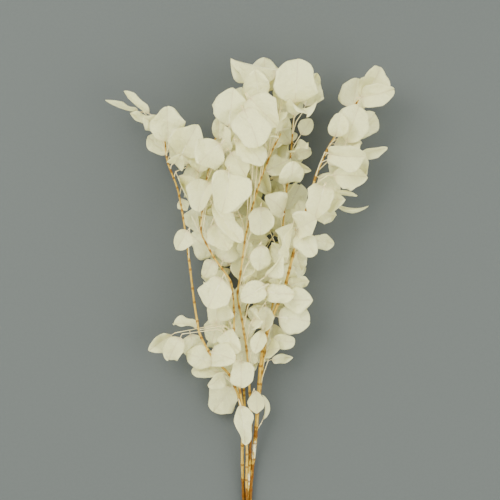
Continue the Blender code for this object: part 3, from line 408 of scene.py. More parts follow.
# The outline that the leaves keep to, seen from above, clockwise from the left spray's tip.
OUTLINE = metres((
    (-206, 562), (-191, 570), (-176, 576), (-158, 572), (-146, 562), (-142, 546), (-132, 550),
    (-110, 549), (-98, 540), (-90, 529), (-74, 528), (-66, 516), (-58, 500), (-51, 512), (-52, 530),
    (-46, 534), (-42, 541), (-41, 556), (-32, 576), (-24, 581), (-28, 614), (-10, 616), (14, 627),
    (44, 622), (46, 612), (62, 617), (82, 610), (98, 600), (106, 578), (98, 552), (92, 538),
    (87, 520), (83, 507), (89, 492), (79, 480), (77, 462), (80, 448), (84, 462), (98, 476),
    (113, 512), (119, 532), (126, 542), (137, 543), (135, 562), (144, 584), (156, 595), (166, 606),
    (186, 608), (198, 586), (207, 580), (200, 566), (190, 556), (176, 548), (180, 538), (170, 518),
    (170, 500), (182, 501), (194, 490), (184, 480), (166, 470), (161, 440), (150, 432), (156, 422),
    (160, 412), (134, 412), (118, 396), (104, 390), (94, 394), (82, 383), (104, 382), (113, 374),
    (119, 354), (94, 346), (79, 330), (88, 304), (80, 292), (88, 278), (86, 248), (70, 230),
    (64, 220), (52, 209), (63, 196), (32, 186), (20, 156), (19, 134), (10, 112), (3, 78), (-13, 80),
    (-21, 112), (-33, 111), (-62, 132), (-70, 142), (-67, 156), (-74, 160), (-88, 180), (-94, 204),
    (-90, 214), (-72, 222), (-97, 234), (-98, 205), (-122, 193), (-145, 206), (-134, 228),
    (-118, 233), (-110, 249), (-78, 249), (-62, 240), (-66, 262), (-70, 280), (-76, 300),
    (-75, 325), (-78, 342), (-94, 343), (-103, 362), (-88, 378), (-90, 398), (-106, 414),
    (-106, 424), (-98, 436), (-100, 458), (-120, 474), (-128, 482), (-120, 490), (-148, 510),
    (-152, 522), (-170, 543),
))

def smooth_route(points, step):
    """Points about step apart on a Catmull-Rom curve through the given ones."""
    points = [Vector(p) for p in points]
    padded = [2 * points[0] - points[1], *points, 2 * points[-1] - points[-2]]
    route, since = [points[0]], 0.0
    for a, b, c, d in zip(padded, padded[1:], padded[2:], padded[3:]):
        for k in range(1, 5):
            t = k / 4
            square = (2 * a - 5 * b + 4 * c - d) * t**2
            cube = (3 * b - a - 3 * c + d) * t**3
            point = 0.5 * (2 * b + (c - a) * t + square + cube)
            since = (point - route[-1]).length
            if since >= step:
                route.append(point)
    if since > step * 0.4:
        route.append(points[-1])
    else:
        route[-1] = points[-1]
    return route


def spot_at_height(route, height):
    """The point of a route at this Y, and the direction of the route there."""
    for a, b in zip(route, route[1:]):
        if b.y >= height:
            share = (height - a.y) / max(b.y - a.y, 1e-9)
            return a.lerp(b, min(max(share, 0.0), 1.0)), (b - a).normalized()
    return route[-1], (route[-1] - route[-2]).normalized()


def point_along(route, share):
    """The point at this share of a route, and the direction there."""
    place = share * (len(route) - 1)
    k = min(int(place), len(route) - 2)
    return route[k].lerp(route[k + 1], place - k), (route[k + 1] - route[k]).normalized()


def arc_spot(start, bend, end, t):
    """A spot on the arc that leaves start toward bend, and comes from bend to end."""
    return start * (1 - t) ** 2 + bend * 2 * t * (1 - t) + end * t**2


def shoot_radius(share):
    """The radius of a side shoot at this share of its length."""
    return SHOOT_ROOT_RADIUS + (SHOOT_TIP_RADIUS - SHOOT_ROOT_RADIUS) * share


def tube(route, radii, sides):
    """A closed tube round a route, as vertices and faces."""
    verts, faces = [], []
    side = (route[1] - route[0]).orthogonal().normalized()
    for k, point in enumerate(route):
        ahead = (route[min(k + 1, len(route) - 1)] - route[max(k - 1, 0)]).normalized()
        side = (side - ahead * side.dot(ahead)).normalized()
        other = ahead.cross(side)
        for n in range(sides):
            angle = 2 * math.pi * n / sides
            verts.append(point + (side * math.cos(angle) + other * math.sin(angle)) * radii[k])
            if k:
                a, b = (k - 1) * sides + n, (k - 1) * sides + (n + 1) % sides
                faces.append((a, b, b + sides, a + sides))
    return verts, [*faces, tuple(reversed(range(sides))), tuple(range(len(verts) - sides, len(verts)))]


def blade_points(leaf, t, s, margin=0.0):
    """Points in the middle of the blade, t from base to tip and s from -1 to 1 across."""
    t, s = np.asarray(t, float), np.asarray(s, float)
    angle = leaf.curl * t
    radius = leaf.length / leaf.curl
    forward = (radius * np.sin(angle))[:, None]
    sag = (radius * (1 - np.cos(angle)))[:, None]
    along, across, normal, base = (np.array(v) for v in (leaf.along, leaf.across, leaf.normal, leaf.base))
    upright = np.cos(angle)[:, None] * normal + np.sin(angle)[:, None] * along
    shape = np.sin(np.pi * np.clip(t, 0, 1) ** leaf.broad)
    out = s * (0.5 * leaf.width * leaf.length * np.clip(shape, 0, 1) ** leaf.round + margin)
    lift = np.abs(out) * math.sin(leaf.fold) + leaf.cup * out**2 / leaf.length
    ripple = leaf.wave * leaf.length * s**2 * np.sin(3 * np.pi * t + leaf.phase + s)
    points = base + along * forward - normal * sag
    points = points + across * (out * math.cos(leaf.fold))[:, None] + upright * (lift + ripple)[:, None]
    low = points[:, 2] < TABLE_GIVE
    give = TABLE_GIVE - BLADE_THICKNESS / 2
    points[low, 2] = BLADE_THICKNESS / 2 + give * np.exp((points[low, 2] - TABLE_GIVE) / give)
    return points


def leaf_mesh(leaf, rows, across, thickness, margin=0.0, skip_root=0.0):
    """The petiole and blade as one closed thin solid of triangles."""
    count, span, step = len(rows), len(across), TINY_STEP
    t = np.array([row for row in rows for _ in across] + [1.0])
    s = np.array(list(across) * count + [0.0])
    near = np.minimum(t, 1 - step)
    middle = blade_points(leaf, t, s, margin)
    wide = blade_points(leaf, near, s + step, margin) - blade_points(leaf, near, s - step, margin)
    upright = np.cross(wide, middle - blade_points(leaf, t - step, s, margin))
    upright /= np.linalg.norm(upright, axis=1)[:, None]
    half = (thickness / 2 / np.where(s == 0, max(math.cos(leaf.fold), 0.5), 1.0))[:, None]
    middle[-1] += np.array(leaf.along) * margin
    stalk = (leaf.base - leaf.root).normalized()
    verts = []
    for point, radius in ((leaf.root + stalk * skip_root, PETIOLE_ROOT_RADIUS), (leaf.base, PETIOLE_RADIUS)):
        wide, deep = leaf.across * (radius + margin), leaf.normal * (radius + margin)
        verts += [point - wide + deep * 0.6, point + wide + deep * 0.6, point - deep]
    verts = [tuple(v) for v in (*verts, *(middle + upright * half), *(middle - upright * half))]
    up = [[6 + k * span + j for j in range(span)] for k in range(count)] + [[6 + count * span] * span]
    low = [[number + count * span + 1 for number in row] for row in up]
    faces = [(0, 2, 1), (3, 4, up[0][span // 2])]

    def quad(a, b, c, d):
        faces.extend(face for face in ((a, b, c), (a, c, d)) if len(set(face)) == 3)

    for ring in ((0, 1, 4, 3), (1, 2, 5, 4), (2, 0, 3, 5)):
        quad(*ring)
    quad(3, up[0][0], low[0][0], 5)
    quad(4, 5, low[0][-1], up[0][-1])
    for k in range(count):
        quad(up[k][0], up[k + 1][0], low[k + 1][0], low[k][0])
        quad(low[k][-1], low[k + 1][-1], up[k + 1][-1], up[k][-1])
    for j in range(span - 1):
        faces += [(3 if j < span // 2 else 4, up[0][j + 1], up[0][j]), (5, low[0][j], low[0][j + 1])]
        for k in range(count):
            quad(up[k][j], up[k][j + 1], up[k + 1][j + 1], up[k + 1][j])
            quad(low[k][j], low[k + 1][j], low[k + 1][j + 1], low[k][j + 1])
    return verts, faces


def turned_leaf(root, along, length, roll, fold, wide, draw):
    """A leaf whose tip lies along a direction from root, as level as that allows before its roll."""
    along = along.normalized()
    across = along.cross(UP)
    across = across.normalized() if across.length > 0.05 else along.orthogonal().normalized()
    across.rotate(Quaternion(along, roll))
    curl = draw.uniform(0.2, 1.3) * (1 if draw.random() < 0.6 else -1)
    if fold > STIFF_FOLD:
        curl *= 0.2
    along.rotate(Quaternion(across, curl * 0.5))
    blade = length / (1 + PETIOLE_SHARE)
    return Leaf(
        root, root + along * blade * PETIOLE_SHARE, along, across, across.cross(along), blade,
        width=wide or draw.uniform(0.86, 1.14),
        round=draw.uniform(0.40, 0.70),
        broad=draw.uniform(0.64, 1.10),
        fold=fold,
        cup=draw.uniform(-0.6, 0.9),
        curl=curl,
        wave=draw.uniform(0.04, 0.12),
        phase=draw.uniform(0, 6.28),
    )


def inside_outline(x, y):
    """Whether a spot, seen from above, lies inside the outline of the bunch."""
    inside = False
    for (x1, y1), (x2, y2) in zip(OUTLINE, OUTLINE[1:] + OUTLINE[:1]):
        if (y1 > y) != (y2 > y) and x < x1 + (x2 - x1) * (y - y1) / (y2 - y1):
            inside = not inside
    return inside


class Solid:
    """A grown piece, and the finer form that others must clear as well."""

    def __init__(self, branch, shoot, verts, faces, finer=None):
        self.branch, self.shoot = branch, shoot
        self.tree = BVHTree.FromPolygons(verts, faces)
        self.finer = BVHTree.FromPolygons(*finer) if finer else self.tree
        points = np.array([tuple(v) for v in (*verts, *(finer[0] if finer else ()))])
        self.low, self.high = points.min(0), points.max(0)

    def meets_line(self, x, y, z, way):
        """Whether a line up or down from a spot runs into the solid."""
        inside = self.low[0] < x < self.high[0] and self.low[1] < y < self.high[1]
        return inside and self.finer.ray_cast((x, y, z), (0, 0, way))[0] is not None


class Garden:
    """Everything that has grown so far, and the spots that stay open to the sky."""

    def __init__(self):
        self.solids, self.open_spots = [], []

    def crosses(self, solid, form, skip):
        """Whether the plain or the finer form of a solid runs through another one's."""
        low, high = solid.low - CLEARANCE, solid.high + CLEARANCE
        for other in self.solids:
            if (low > other.high).any() or (high < other.low).any() or skip(other):
                continue
            if getattr(solid, form).overlap(getattr(other, form)):
                return True
        return False

    def shades(self, solid):
        return any(solid.meets_line(*spot, 1) for spot in self.open_spots)

    def covered(self, x, y):
        return any(solid.meets_line(x, y, SKY, -1) for solid in self.solids)


def grow_leaf(garden, branch, shoot, root, along, length, roll, fold, wide, seed, free, tries=LEAF_TRIES):
    """Adds one leaf as near to its natural place as the others let it be. Returns it, or None."""
    draw = random.Random(seed)
    own = [s for s in garden.solids if s.branch == branch and s.shoot == shoot]
    for attempt in range(tries):
        loose = math.radians(2.0 + 2.6 * attempt if free else 1.2 * attempt)
        heading = along.copy()
        heading.rotate(Quaternion(along.cross(UP).normalized(), draw.gauss(0, loose * 0.5)))
        heading.rotate(Quaternion(UP, draw.gauss(0, loose * 0.7)))
        size = length * (1 - 0.009 * attempt)
        leaf = turned_leaf(root, heading, size, roll + draw.gauss(0, loose), fold, wide, draw)
        if leaf.base.z < LOWEST_BLADE_FOOT or (leaf.base + leaf.along * leaf.length).z < -DEEPEST_BEND:
            continue
        rim = blade_points(leaf, (0.2, 0.2, 0.5, 0.5, 0.8, 0.8, 1.0), (-1, 1, -1, 1, -1, 1, 0))
        if free and not all(inside_outline(x, y) for x, y, _ in rim):
            continue
        rows = SMALL_ROWS if leaf.length < SMALL_BLADE else ROWS
        plain = leaf_mesh(leaf, rows, ACROSS, BLADE_THICKNESS + 2 * CLEARANCE, CLEARANCE, ROOT_SKIP)
        if garden.crosses(Solid(branch, None, *plain), "tree", lambda s: s in own):
            continue
        blade = BVHTree.FromPolygons(plain[0], [face for face in plain[1] if min(face) >= 3])
        if any(blade.overlap(s.tree) for s in own):
            continue
        finer = leaf_mesh(leaf, TEST_ROWS, TEST_ACROSS, BLADE_THICKNESS + CLEARANCE, CLEARANCE / 2, ROOT_SKIP)
        wish = Solid(branch, None, *plain, finer)
        if garden.crosses(wish, "finer", lambda s: s in own) or (free and garden.shades(wish)):
            continue
        plain = leaf_mesh(leaf, rows, ACROSS, BLADE_THICKNESS)
        finer = leaf_mesh(leaf, TEST_ROWS, TEST_ACROSS, BLADE_THICKNESS)
        garden.solids.append(Solid(branch, None, *plain, finer))
        if not free:
            garden.open_spots += [Vector(p) for p in blade_points(leaf, (0.3, 0.55, 0.8), (0, 0, 0))]
        return leaf
    return None


def grow_shoot(garden, branch, number, start, heading, tip):
    """Adds a side shoot, raised or lowered until it is clear of the other branches."""
    shares = [k / SHOOT_STEPS for k in range(SHOOT_STEPS + 1)]
    radii = [shoot_radius(share) for share in shares]
    for lift in SHOOT_LIFTS:
        end = Vector(tip) + UP * metres(lift)
        bend = start + heading * (end - start).length * 0.45
        route = [arc_spot(start, bend, end, share) for share in shares]
        if min(p.z for p in route) < LOWEST_SHOOT:
            continue
        wide = Solid(branch, number, *tube(route, [r + CLEARANCE for r in radii], SHOOT_SIDES))
        if not garden.crosses(wide, "tree", lambda s: s.branch == branch):
            garden.solids.append(Solid(branch, number, *tube(route, radii, SHOOT_SIDES)))
            return route
    return None


def side_leaf_heading(heading, turn, draw):
    """A leaf's direction off its shoot: out to one side, and a little up or down."""
    out = heading.copy()
    out.rotate(Quaternion(UP, turn * math.radians(draw.uniform(38, 82))))
    out.rotate(Quaternion(out.cross(UP).normalized(), math.radians(draw.uniform(-30, 36))))
    return out


def free_wish(rank, name, number, root, along, length, draw, seed):
    """A leaf that turns until it is clear. Most are nearly flat, and one in five is folded."""
    roll = draw.gauss(0, 0.4)
    fold = math.radians(draw.uniform(44, 66) if draw.random() < 0.2 else draw.uniform(6, 30))
    return rank, name, number, root, along, length, roll, fold, None, seed, True


def end_leaf_wish(name, number, shoot, twig, seed):
    """The leaf at the end of a shoot. An aimed one comes before all others and keeps its place."""
    heading = twig[-1] - twig[-2]
    end = twig[-1] - heading.normalized() * END_LEAF_SINK
    if not shoot.aim:
        return free_wish(1, name, number, end, heading, shoot.length, random.Random(seed), seed)
    toward = Vector(shoot.aim) + Vector((0, 0, twig[-1].z - shoot.tip[2])) - end
    roll, fold = (0.2 if turn is None else math.radians(turn) for turn in (shoot.roll, shoot.fold))
    return 0, name, number, end, toward, toward.length, roll, fold, shoot.wide, seed, False


def grow_bunch():
    """Grows every branch. Returns the garden, and each branch's routes and leaves."""
    garden, grown, wishes = Garden(), {}, []
    for name, branch in BRANCHES.items():
        route = smooth_route(branch.route, STEM_STEP)
        butt, top = branch.radii
        radii = [butt + (top - butt) * (k / (len(route) - 1)) ** STEM_TAPER for k in range(len(route))]
        garden.solids.append(Solid(name, "stem", *tube(route, radii, STEM_SIDES)))
        grown[name] = {"stem": (route, radii), "shoots": {}, "leaves": []}
        for low, high in branch.seen:
            count = max(2, round((high - low) / SEEN_GAP))
            heights = [low + (high - low) * k / count for k in range(count + 1)]
            garden.open_spots += [spot_at_height(route, height)[0] for height in heights]
    for order, (name, branch) in enumerate(BRANCHES.items()):
        route = grown[name]["stem"][0]
        for number, shoot in enumerate(branch.shoots):
            twig = grow_shoot(garden, name, number, *spot_at_height(route, shoot.height), shoot.tip)
            if not twig:
                continue
            grown[name]["shoots"][number] = twig
            seed = GROWTH_SEED + 1000 * order + 20 * number
            draw = random.Random(seed)
            wishes.append(end_leaf_wish(name, number, shoot, twig, seed))
            for k in range(1, shoot.leaves):
                root, heading = point_along(twig, 1 - 0.75 * k / shoot.leaves)
                along = side_leaf_heading(heading, 1 if (k + number) % 2 else -1, draw)
                size = shoot.length * draw.uniform(0.85, 1.08)
                wishes.append(free_wish(1 + k, name, number, root, along, size, draw, seed + k))
        start, length = branch.crown
        seed = GROWTH_SEED + 1000 * order + 900
        draw = random.Random(seed)
        for k in range(branch.crown_leaves):
            height = route[-1].y - (route[-1].y - start) * k / branch.crown_leaves
            root, heading = spot_at_height(route, height)
            along = heading if k == 0 else side_leaf_heading(heading, 1 if k % 2 else -1, draw)
            root = root - heading * END_LEAF_SINK if k == 0 else root
            size = length * draw.uniform(0.85, 1.08)
            wishes.append(free_wish(1 + k % 4, name, "stem", root, along, size, draw, seed + k))
    for _, name, *wish in sorted(wishes, key=lambda wish: wish[0]):
        leaf = grow_leaf(garden, name, *wish)
        if leaf:
            grown[name]["leaves"].append(leaf)
    for turn, (step, shortest, most) in enumerate(GAP_ROUNDS, 1):
        fill_gaps(garden, grown, turn, step, shortest, most)
    return garden, grown


def fill_gaps(garden, grown, turn, step, shortest, most):
    """Where light falls through the leaves, the nearest shoot puts out one more."""
    draw = random.Random(GROWTH_SEED + turn)
    roots = []
    for name, parts in grown.items():
        for number, twig in parts["shoots"].items():
            roots += [(name, number, point_along(twig, k / 6)[0]) for k in range(1, 6)]
        stem = parts["stem"][0]
        upper = [(a, b) for a, b in zip(stem, stem[1:]) if a.y > LOWEST_FILLER]
        roots += [(name, "stem", a.lerp(b, f)) for a, b in upper for f in (0.25, 0.5, 0.75)]
    xs = np.arange(-0.205, 0.206, step)
    spots = [(x, y) for y in np.arange(0.085, 0.625, step) for x in xs if inside_outline(x, y)]
    draw.shuffle(spots)
    added = 0
    for x, y in spots:
        if added == most or garden.covered(x, y):
            continue
        near = [(abs(math.hypot(root[2].x - x, root[2].y - y) - FILLER_REACH), *root) for root in roots]
        for off, name, number, root in sorted(near, key=lambda found: found[0])[:NEAREST_ROOTS]:
            away = Vector((x - root.x, y - root.y, draw.uniform(-0.008, 0.010)))
            if off > FILLER_SLACK or away.length < LEAST_REACH:
                continue
            length = min(max(away.length / FILLER_MIDDLE, shortest), LONGEST_FILLER)
            fold = math.radians(draw.uniform(4, 24))
            seed = GROWTH_SEED + 9000 * turn + added
            away.normalize()
            leaf = grow_leaf(garden, name, number, root, away, length, 0.0, fold, None, seed, True, GAP_TRIES)
            if leaf:
                grown[name]["leaves"].append(leaf)
                added += 1
                break


class Term:
    """A value in a node tree. Arithmetic on it adds the nodes that work it out."""

    def __init__(self, tree, socket):
        self.tree, self.socket = tree, socket

    def is_vector(self):
        return self.socket.type == "VECTOR"

    def step(self, operation, *values):
        kind = "ShaderNodeVectorMath" if self.is_vector() else "ShaderNodeMath"
        return add(self.tree, kind, dict(enumerate((self, *values))), operation=operation)

    __add__ = partialmethod(step, "ADD")
    __sub__ = partialmethod(step, "SUBTRACT")
    __truediv__ = partialmethod(step, "DIVIDE")
    __pow__ = partialmethod(step, "POWER")

    def __rsub__(self, other):
        return add(self.tree, "ShaderNodeMath", {0: other, 1: self}, operation="SUBTRACT")

    def __mul__(self, other):
        if self.is_vector():
            return add(self.tree, "ShaderNodeVectorMath", {0: self, 3: other}, operation="SCALE")
        if isinstance(other, Term) and other.is_vector():
            return other * self
        return self.step("MULTIPLY", other)

    def part(self, axis):
        return add(self.tree, "ShaderNodeSeparateXYZ", {0: self}, output="XYZ".index(axis))

    def rise(self, low, high):
        """A smooth step from 0 at low to 1 at high."""
        inputs = {"Value": self, "From Min": low, "From Max": high}
        return add(self.tree, "ShaderNodeMapRange", inputs, interpolation_type="SMOOTHSTEP")


def plug(tree, value, socket):
    if isinstance(value, Term):
        tree.links.new(value.socket, socket)
    else:
        socket.default_value = value


def add(tree, kind, inputs=None, output=0, **settings):
    """Adds a node to a tree, and gives one of its outputs."""
    node = tree.nodes.new(kind)
    for name, value in settings.items():
        setattr(node, name, value)
    for place, value in (inputs or {}).items():
        plug(tree, value, node.inputs[place])
    return Term(tree, node.outputs[output])


def sine(term):
    return term.step("SINE")


def cosine(term):
    return term.step("COSINE")


def size_of(term):
    return term.step("ABSOLUTE")


def vector_of(tree, x, y, z):
    return add(tree, "ShaderNodeCombineXYZ", {0: x, 1: y, 2: z})


def drawn_out(tree, place, factors):
    """A place whose axes are stretched, so that noise there looks drawn along the twigs."""
    return add(tree, "ShaderNodeVectorMath", {0: place, 1: factors}, operation="MULTIPLY")


def noise(tree, place, scale, detail=2.0):
    """Smooth noise round 0, from -0.5 to 0.5."""
    return add(tree, "ShaderNodeTexNoise", {"Vector": place, "Scale": scale, "Detail": detail}) - 0.5


def new_tree(name, inputs, output):
    """A node group with inputs of named kinds and one output, and a term for each input."""
    tree = bpy.data.node_groups.new(name, "GeometryNodeTree")
    sockets = [(socket, "INPUT", kind) for kind, names in inputs.items() for socket in names]
    for socket, way, kind in (*sockets, (output, "OUTPUT", output)):
        tree.interface.new_socket(name=socket, in_out=way, socket_type="NodeSocket" + kind)
    given = tree.nodes.new("NodeGroupInput")
    return tree, {socket: Term(tree, given.outputs[socket]) for socket, *_ in sockets}


def end_tree(tree, value):
    plug(tree, value, tree.nodes.new("NodeGroupOutput").inputs[0])
    return tree


def stored(tree, name, kind="FLOAT"):
    return add(tree, "GeometryNodeInputNamedAttribute", {"Name": name}, data_type=kind)


def store(tree, geometry, name, value, kind="FLOAT"):
    inputs = {"Geometry": geometry, "Name": name, "Value": value}
    return add(tree, "GeometryNodeStoreNamedAttribute", inputs, data_type=kind)


def joined(tree, first, second):
    both = add(tree, "GeometryNodeJoinGeometry", {0: first})
    tree.links.new(second.socket, both.socket.node.inputs[0])
    return both


def finished(tree, geometry, finish):
    return add(tree, "GeometryNodeSetMaterial", {"Geometry": geometry, "Material": finish})


def blade_spot_tree():
    """The rule of blade_points as a node group, with worn rims and small puckers added."""
    tree, given = new_tree("blade_spot", {"Float": ("Along", "Across", "Pucker", "Nibble", "Seed")}, "Vector")
    t, s = given["Along"], given["Across"]
    base, along, across, normal = (stored(tree, name, "FLOAT_VECTOR") for name in LEAF_ARROWS)
    length, width, rounding, broad, fold, cup, curl, wave, phase = (stored(tree, n) for n in LEAF_NUMBERS)
    angle = curl * t
    radius = length / curl
    upright = normal * cosine(angle) + along * sine(angle)
    shape = sine(t.step("MAXIMUM", 0.0) ** broad * math.pi).step("MAXIMUM", 0.0) ** rounding
    edge = vector_of(tree, s.step("SIGN") * 3.0 + phase, t * length, given["Seed"])
    corners = size_of(noise(tree, edge, 36.0, 0.0)) * 1.5
    bite = (corners + noise(tree, edge, 150.0, 3.0) * 0.2).step("MAXIMUM", 0.0) * given["Nibble"]
    out = s * width * length * shape * (1.0 - bite * (s * s) ** 2.0) * 0.5
    lift = size_of(out) * sine(fold) + cup * out * out / length
    breadth = width.rise(*SLENDER)
    ripple = breadth * wave * length * s * s * sine(t * (3 * math.pi) + phase + s)
    place = vector_of(tree, out, t * length, phase + given["Seed"])
    crumple = 0.36 - size_of(noise(tree, place, 36.0, 0.0)) * 4.0
    pucker = (noise(tree, place, 130.0) + crumple) * breadth * given["Pucker"]
    spot = base + along * (radius * sine(angle)) - normal * (radius * (1.0 - cosine(angle)))
    spot = spot + across * (out * cosine(fold)) + upright * (lift + ripple + pucker)
    give = TABLE_GIVE - BLADE_THICKNESS / 2
    over = spot.part("Z") - TABLE_GIVE
    pressed = (over.step("MINIMUM", 0.0) / give).step("EXPONENT") * give + BLADE_THICKNESS / 2
    height = pressed + over.step("MAXIMUM", 0.0)
    return end_tree(tree, vector_of(tree, spot.part("X"), spot.part("Y"), height))


def flat_pad(tree, rows, columns):
    """A closed flat pad of height 1 whose sides are 1 long, ready to be bent into a blade."""
    sizes = {"Size X": 1.0, "Size Y": 1.0, "Vertices X": columns, "Vertices Y": rows}
    sheet = add(tree, "GeometryNodeMeshGrid", sizes)
    raised = add(tree, "GeometryNodeExtrudeMesh", {"Mesh": sheet, "Offset Scale": 1.0, "Individual": False})
    both = joined(tree, raised, add(tree, "GeometryNodeFlipFaces", {"Mesh": sheet}))
    return add(tree, "GeometryNodeMergeByDistance", {"Geometry": both, "Distance": 0.001})


def blades_tree(spot_tree):
    """A blade on every point that stands for a leaf, and a round stalk along every edge."""
    inputs = {
        "Geometry": ("Leaves",), "Int": ("Rows", "Columns", "Stalk sides", "Seed"), "Vector": ("Shift",),
        "Float": ("Middle thickness", "Rim thickness", "Pucker", "Nibble"),
        "Material": ("Leaf finish", "Stalk finish"),
    }
    tree, given = new_tree("bleached_blades", inputs, "Geometry")
    pad = flat_pad(tree, given["Rows"], given["Columns"])
    spot = add(tree, "GeometryNodeInputPosition")
    even = spot.part("X") * 2.0
    turn = (spot.part("Y") + 0.5) * math.pi
    pad = store(tree, pad, "across_share", even.step("SIGN") * size_of(even) ** MIDDLE_CROWDING)
    pad = store(tree, pad, "along_share", (1.0 - cosine(turn)) * (0.5 - BLUNT_END) + BLUNT_END)
    pad = store(tree, pad, "face_side", spot.part("Z") * 2.0 - 1.0)

    tones = {2: 0.0, 3: 1.0, "Seed": given["Seed"]}
    tone = add(tree, "FunctionNodeRandomValue", tones, output=1, data_type="FLOAT")
    points = store(tree, given["Leaves"], "tone", tone)
    leaves = {"Points": points, "Selection": stored(tree, "is_leaf"), "Instance": pad}
    blades = add(tree, "GeometryNodeInstanceOnPoints", leaves)
    blades = add(tree, "GeometryNodeRealizeInstances", {"Geometry": blades})

    def blade_spot(along, across):
        node = tree.nodes.new("GeometryNodeGroup")
        node.node_tree = spot_tree
        for name, value in {**given, "Along": along, "Across": across}.items():
            if name in node.inputs:
                plug(tree, value, node.inputs[name])
        return Term(tree, node.outputs[0])

    t, s = stored(tree, "along_share"), stored(tree, "across_share")
    near = t.step("MINIMUM", 1 - TINY_STEP)
    middle = blade_spot(t, s)
    wide = blade_spot(near, s + TINY_STEP) - blade_spot(near, s - TINY_STEP)
    ahead = middle - blade_spot(t - TINY_STEP, s)
    facing = wide.step("CROSS_PRODUCT", ahead).step("NORMALIZE")
    thin, thick = given["Rim thickness"], given["Middle thickness"]
    half = (thin + (thick - thin) * (1.0 - (s * s) ** 2.0)) * 0.5
    place = middle + facing * (half * stored(tree, "face_side")) + given["Shift"]
    length, width, rounding, broad, *_, phase = (stored(tree, name) for name in LEAF_NUMBERS)
    out = s * width * length * sine(t**broad * math.pi) ** rounding
    flat = vector_of(tree, out * 0.5, t * length, phase)
    blades = store(tree, blades, "blade_place", flat, "FLOAT_VECTOR")
    blades = store(tree, blades, "rim", size_of(s))
    blades = add(tree, "GeometryNodeSetPosition", {"Geometry": blades, "Position": place})
    stalks = round_tubes(tree, given["Leaves"], given["Stalk sides"], given["Shift"])
    blades = finished(tree, blades, given["Leaf finish"])
    both = joined(tree, blades, finished(tree, stalks, given["Stalk finish"]))
    return end_tree(tree, add(tree, "GeometryNodeSetShadeSmooth", {"Geometry": both}))


def round_tubes(tree, edges, sides, shift):
    """A closed round tube along every string of edges, as thick as its points say."""
    routes = add(tree, "GeometryNodeMeshToCurve", {"Mesh": edges})
    ring = add(tree, "GeometryNodeCurvePrimitiveCircle", {"Resolution": sides, "Radius": 1.0})
    inputs = {"Curve": routes, "Profile Curve": ring, "Scale": stored(tree, "radius_here"), "Fill Caps": True}
    tubes = add(tree, "GeometryNodeCurveToMesh", inputs)
    return add(tree, "GeometryNodeSetPosition", {"Geometry": tubes, "Offset": shift})


def twigs_tree():
    """Stems and side shoots: round tubes whose bark is rough and flaking."""
    inputs = {
        "Geometry": ("Routes",), "Int": ("Sides", "Seed"), "Float": ("Bark relief",),
        "Vector": ("Shift",), "Material": ("Finish",),
    }
    tree, given = new_tree("woody_twigs", inputs, "Geometry")
    tubes = round_tubes(tree, given["Routes"], given["Sides"], given["Shift"])
    drawn = drawn_out(tree, add(tree, "GeometryNodeInputPosition"), BARK_GRAIN)
    drawn = drawn + vector_of(tree, 0.0, 0.0, given["Seed"])
    rough = noise(tree, drawn, 1.0, 3.0) * (stored(tree, "bark") + 0.2) * given["Bark relief"]
    outward = add(tree, "GeometryNodeInputNormal") * rough
    tubes = add(tree, "GeometryNodeSetPosition", {"Geometry": tubes, "Offset": outward})
    tubes = add(tree, "GeometryNodeRealizeInstances", {"Geometry": tubes})
    tubes = finished(tree, tubes, given["Finish"])
    return end_tree(tree, add(tree, "GeometryNodeSetShadeSmooth", {"Geometry": tubes}))


def host_mesh(name, points, edges, arrows, numbers):
    """An object whose points carry named values for a node tree."""
    mesh = bpy.data.meshes.new(name)
    mesh.from_pydata(points, edges, [])
    for kind, field, columns in (("FLOAT_VECTOR", "vector", arrows), ("FLOAT", "value", numbers)):
        for key, values in columns.items():
            mesh.attributes.new(key, kind, "POINT").data.foreach_set(field, np.ravel(values))
    thing = bpy.data.objects.new(name, mesh)
    bpy.context.scene.collection.objects.link(thing)
    return thing


def grown_mesh(thing, tree, values):
    """Runs a node tree on an object, and keeps the result as its plain mesh."""
    modifier = thing.modifiers.new(tree.name, "NODES")
    modifier.node_group = tree
    for item in tree.interface.items_tree:
        if item.in_out == "INPUT" and item.name in values:
            modifier[item.identifier] = values[item.name]
    bpy.context.view_layer.update()
    shown = thing.evaluated_get(bpy.context.evaluated_depsgraph_get())
    mesh = bpy.data.meshes.new_from_object(shown)
    thing.modifiers.remove(modifier)
    thing.data = mesh
    return thing


def rounded_route(route, reach, step):
    """The route with its corners rounded off over this reach, and its points a step apart."""
    line = [route[0]]
    for a, b, c in zip(route, route[1:], route[2:]):
        near = min(reach, (b - a).length * 0.4, (c - b).length * 0.4)
        start, end = b + (a - b).normalized() * near, b + (c - b).normalized() * near
        line += [arc_spot(start, b, end, share) for share in (0, 0.25, 0.5, 0.75, 1)]
    line.append(route[-1])
    lengths = np.concatenate([[0], np.cumsum([(b - a).length for a, b in zip(line, line[1:])])])
    count = max(3, round(lengths[-1] / step))
    wanted = np.linspace(0, lengths[-1], count + 1)
    return np.array([[np.interp(w, lengths, [p[k] for p in line]) for k in range(3)] for w in wanted])


def closeness(points, spots, reach):
    """How near each point is to the nearest of some spots: 1 on it, and 0 far off."""
    gaps = np.linalg.norm(points[:, None, :] - np.array(spots)[None, :, :], axis=2).min(1)
    return np.exp(-((gaps / reach) ** 2))


def covered(heights, stretches):
    """How far each height lies inside some stretches: 1 within, 0 far off."""
    shares = [np.zeros(len(heights))]
    for low, high in stretches:
        inside = np.minimum(heights - low, high - heights) / BARK_FADE + 0.5
        shares.append(np.clip(inside, 0.0, 1.0))
    return np.max(shares, axis=0)


def stem_joints(points, draw):
    """Spots of old leaf joints along a stem."""
    spots, since = [], draw.uniform(0.0, JOINT_GAP)
    for a, b in zip(points, points[1:]):
        since += np.linalg.norm(b - a)
        if since > JOINT_GAP * draw.uniform(0.8, 1.3):
            spots.append(b)
            since = 0.0
    return spots


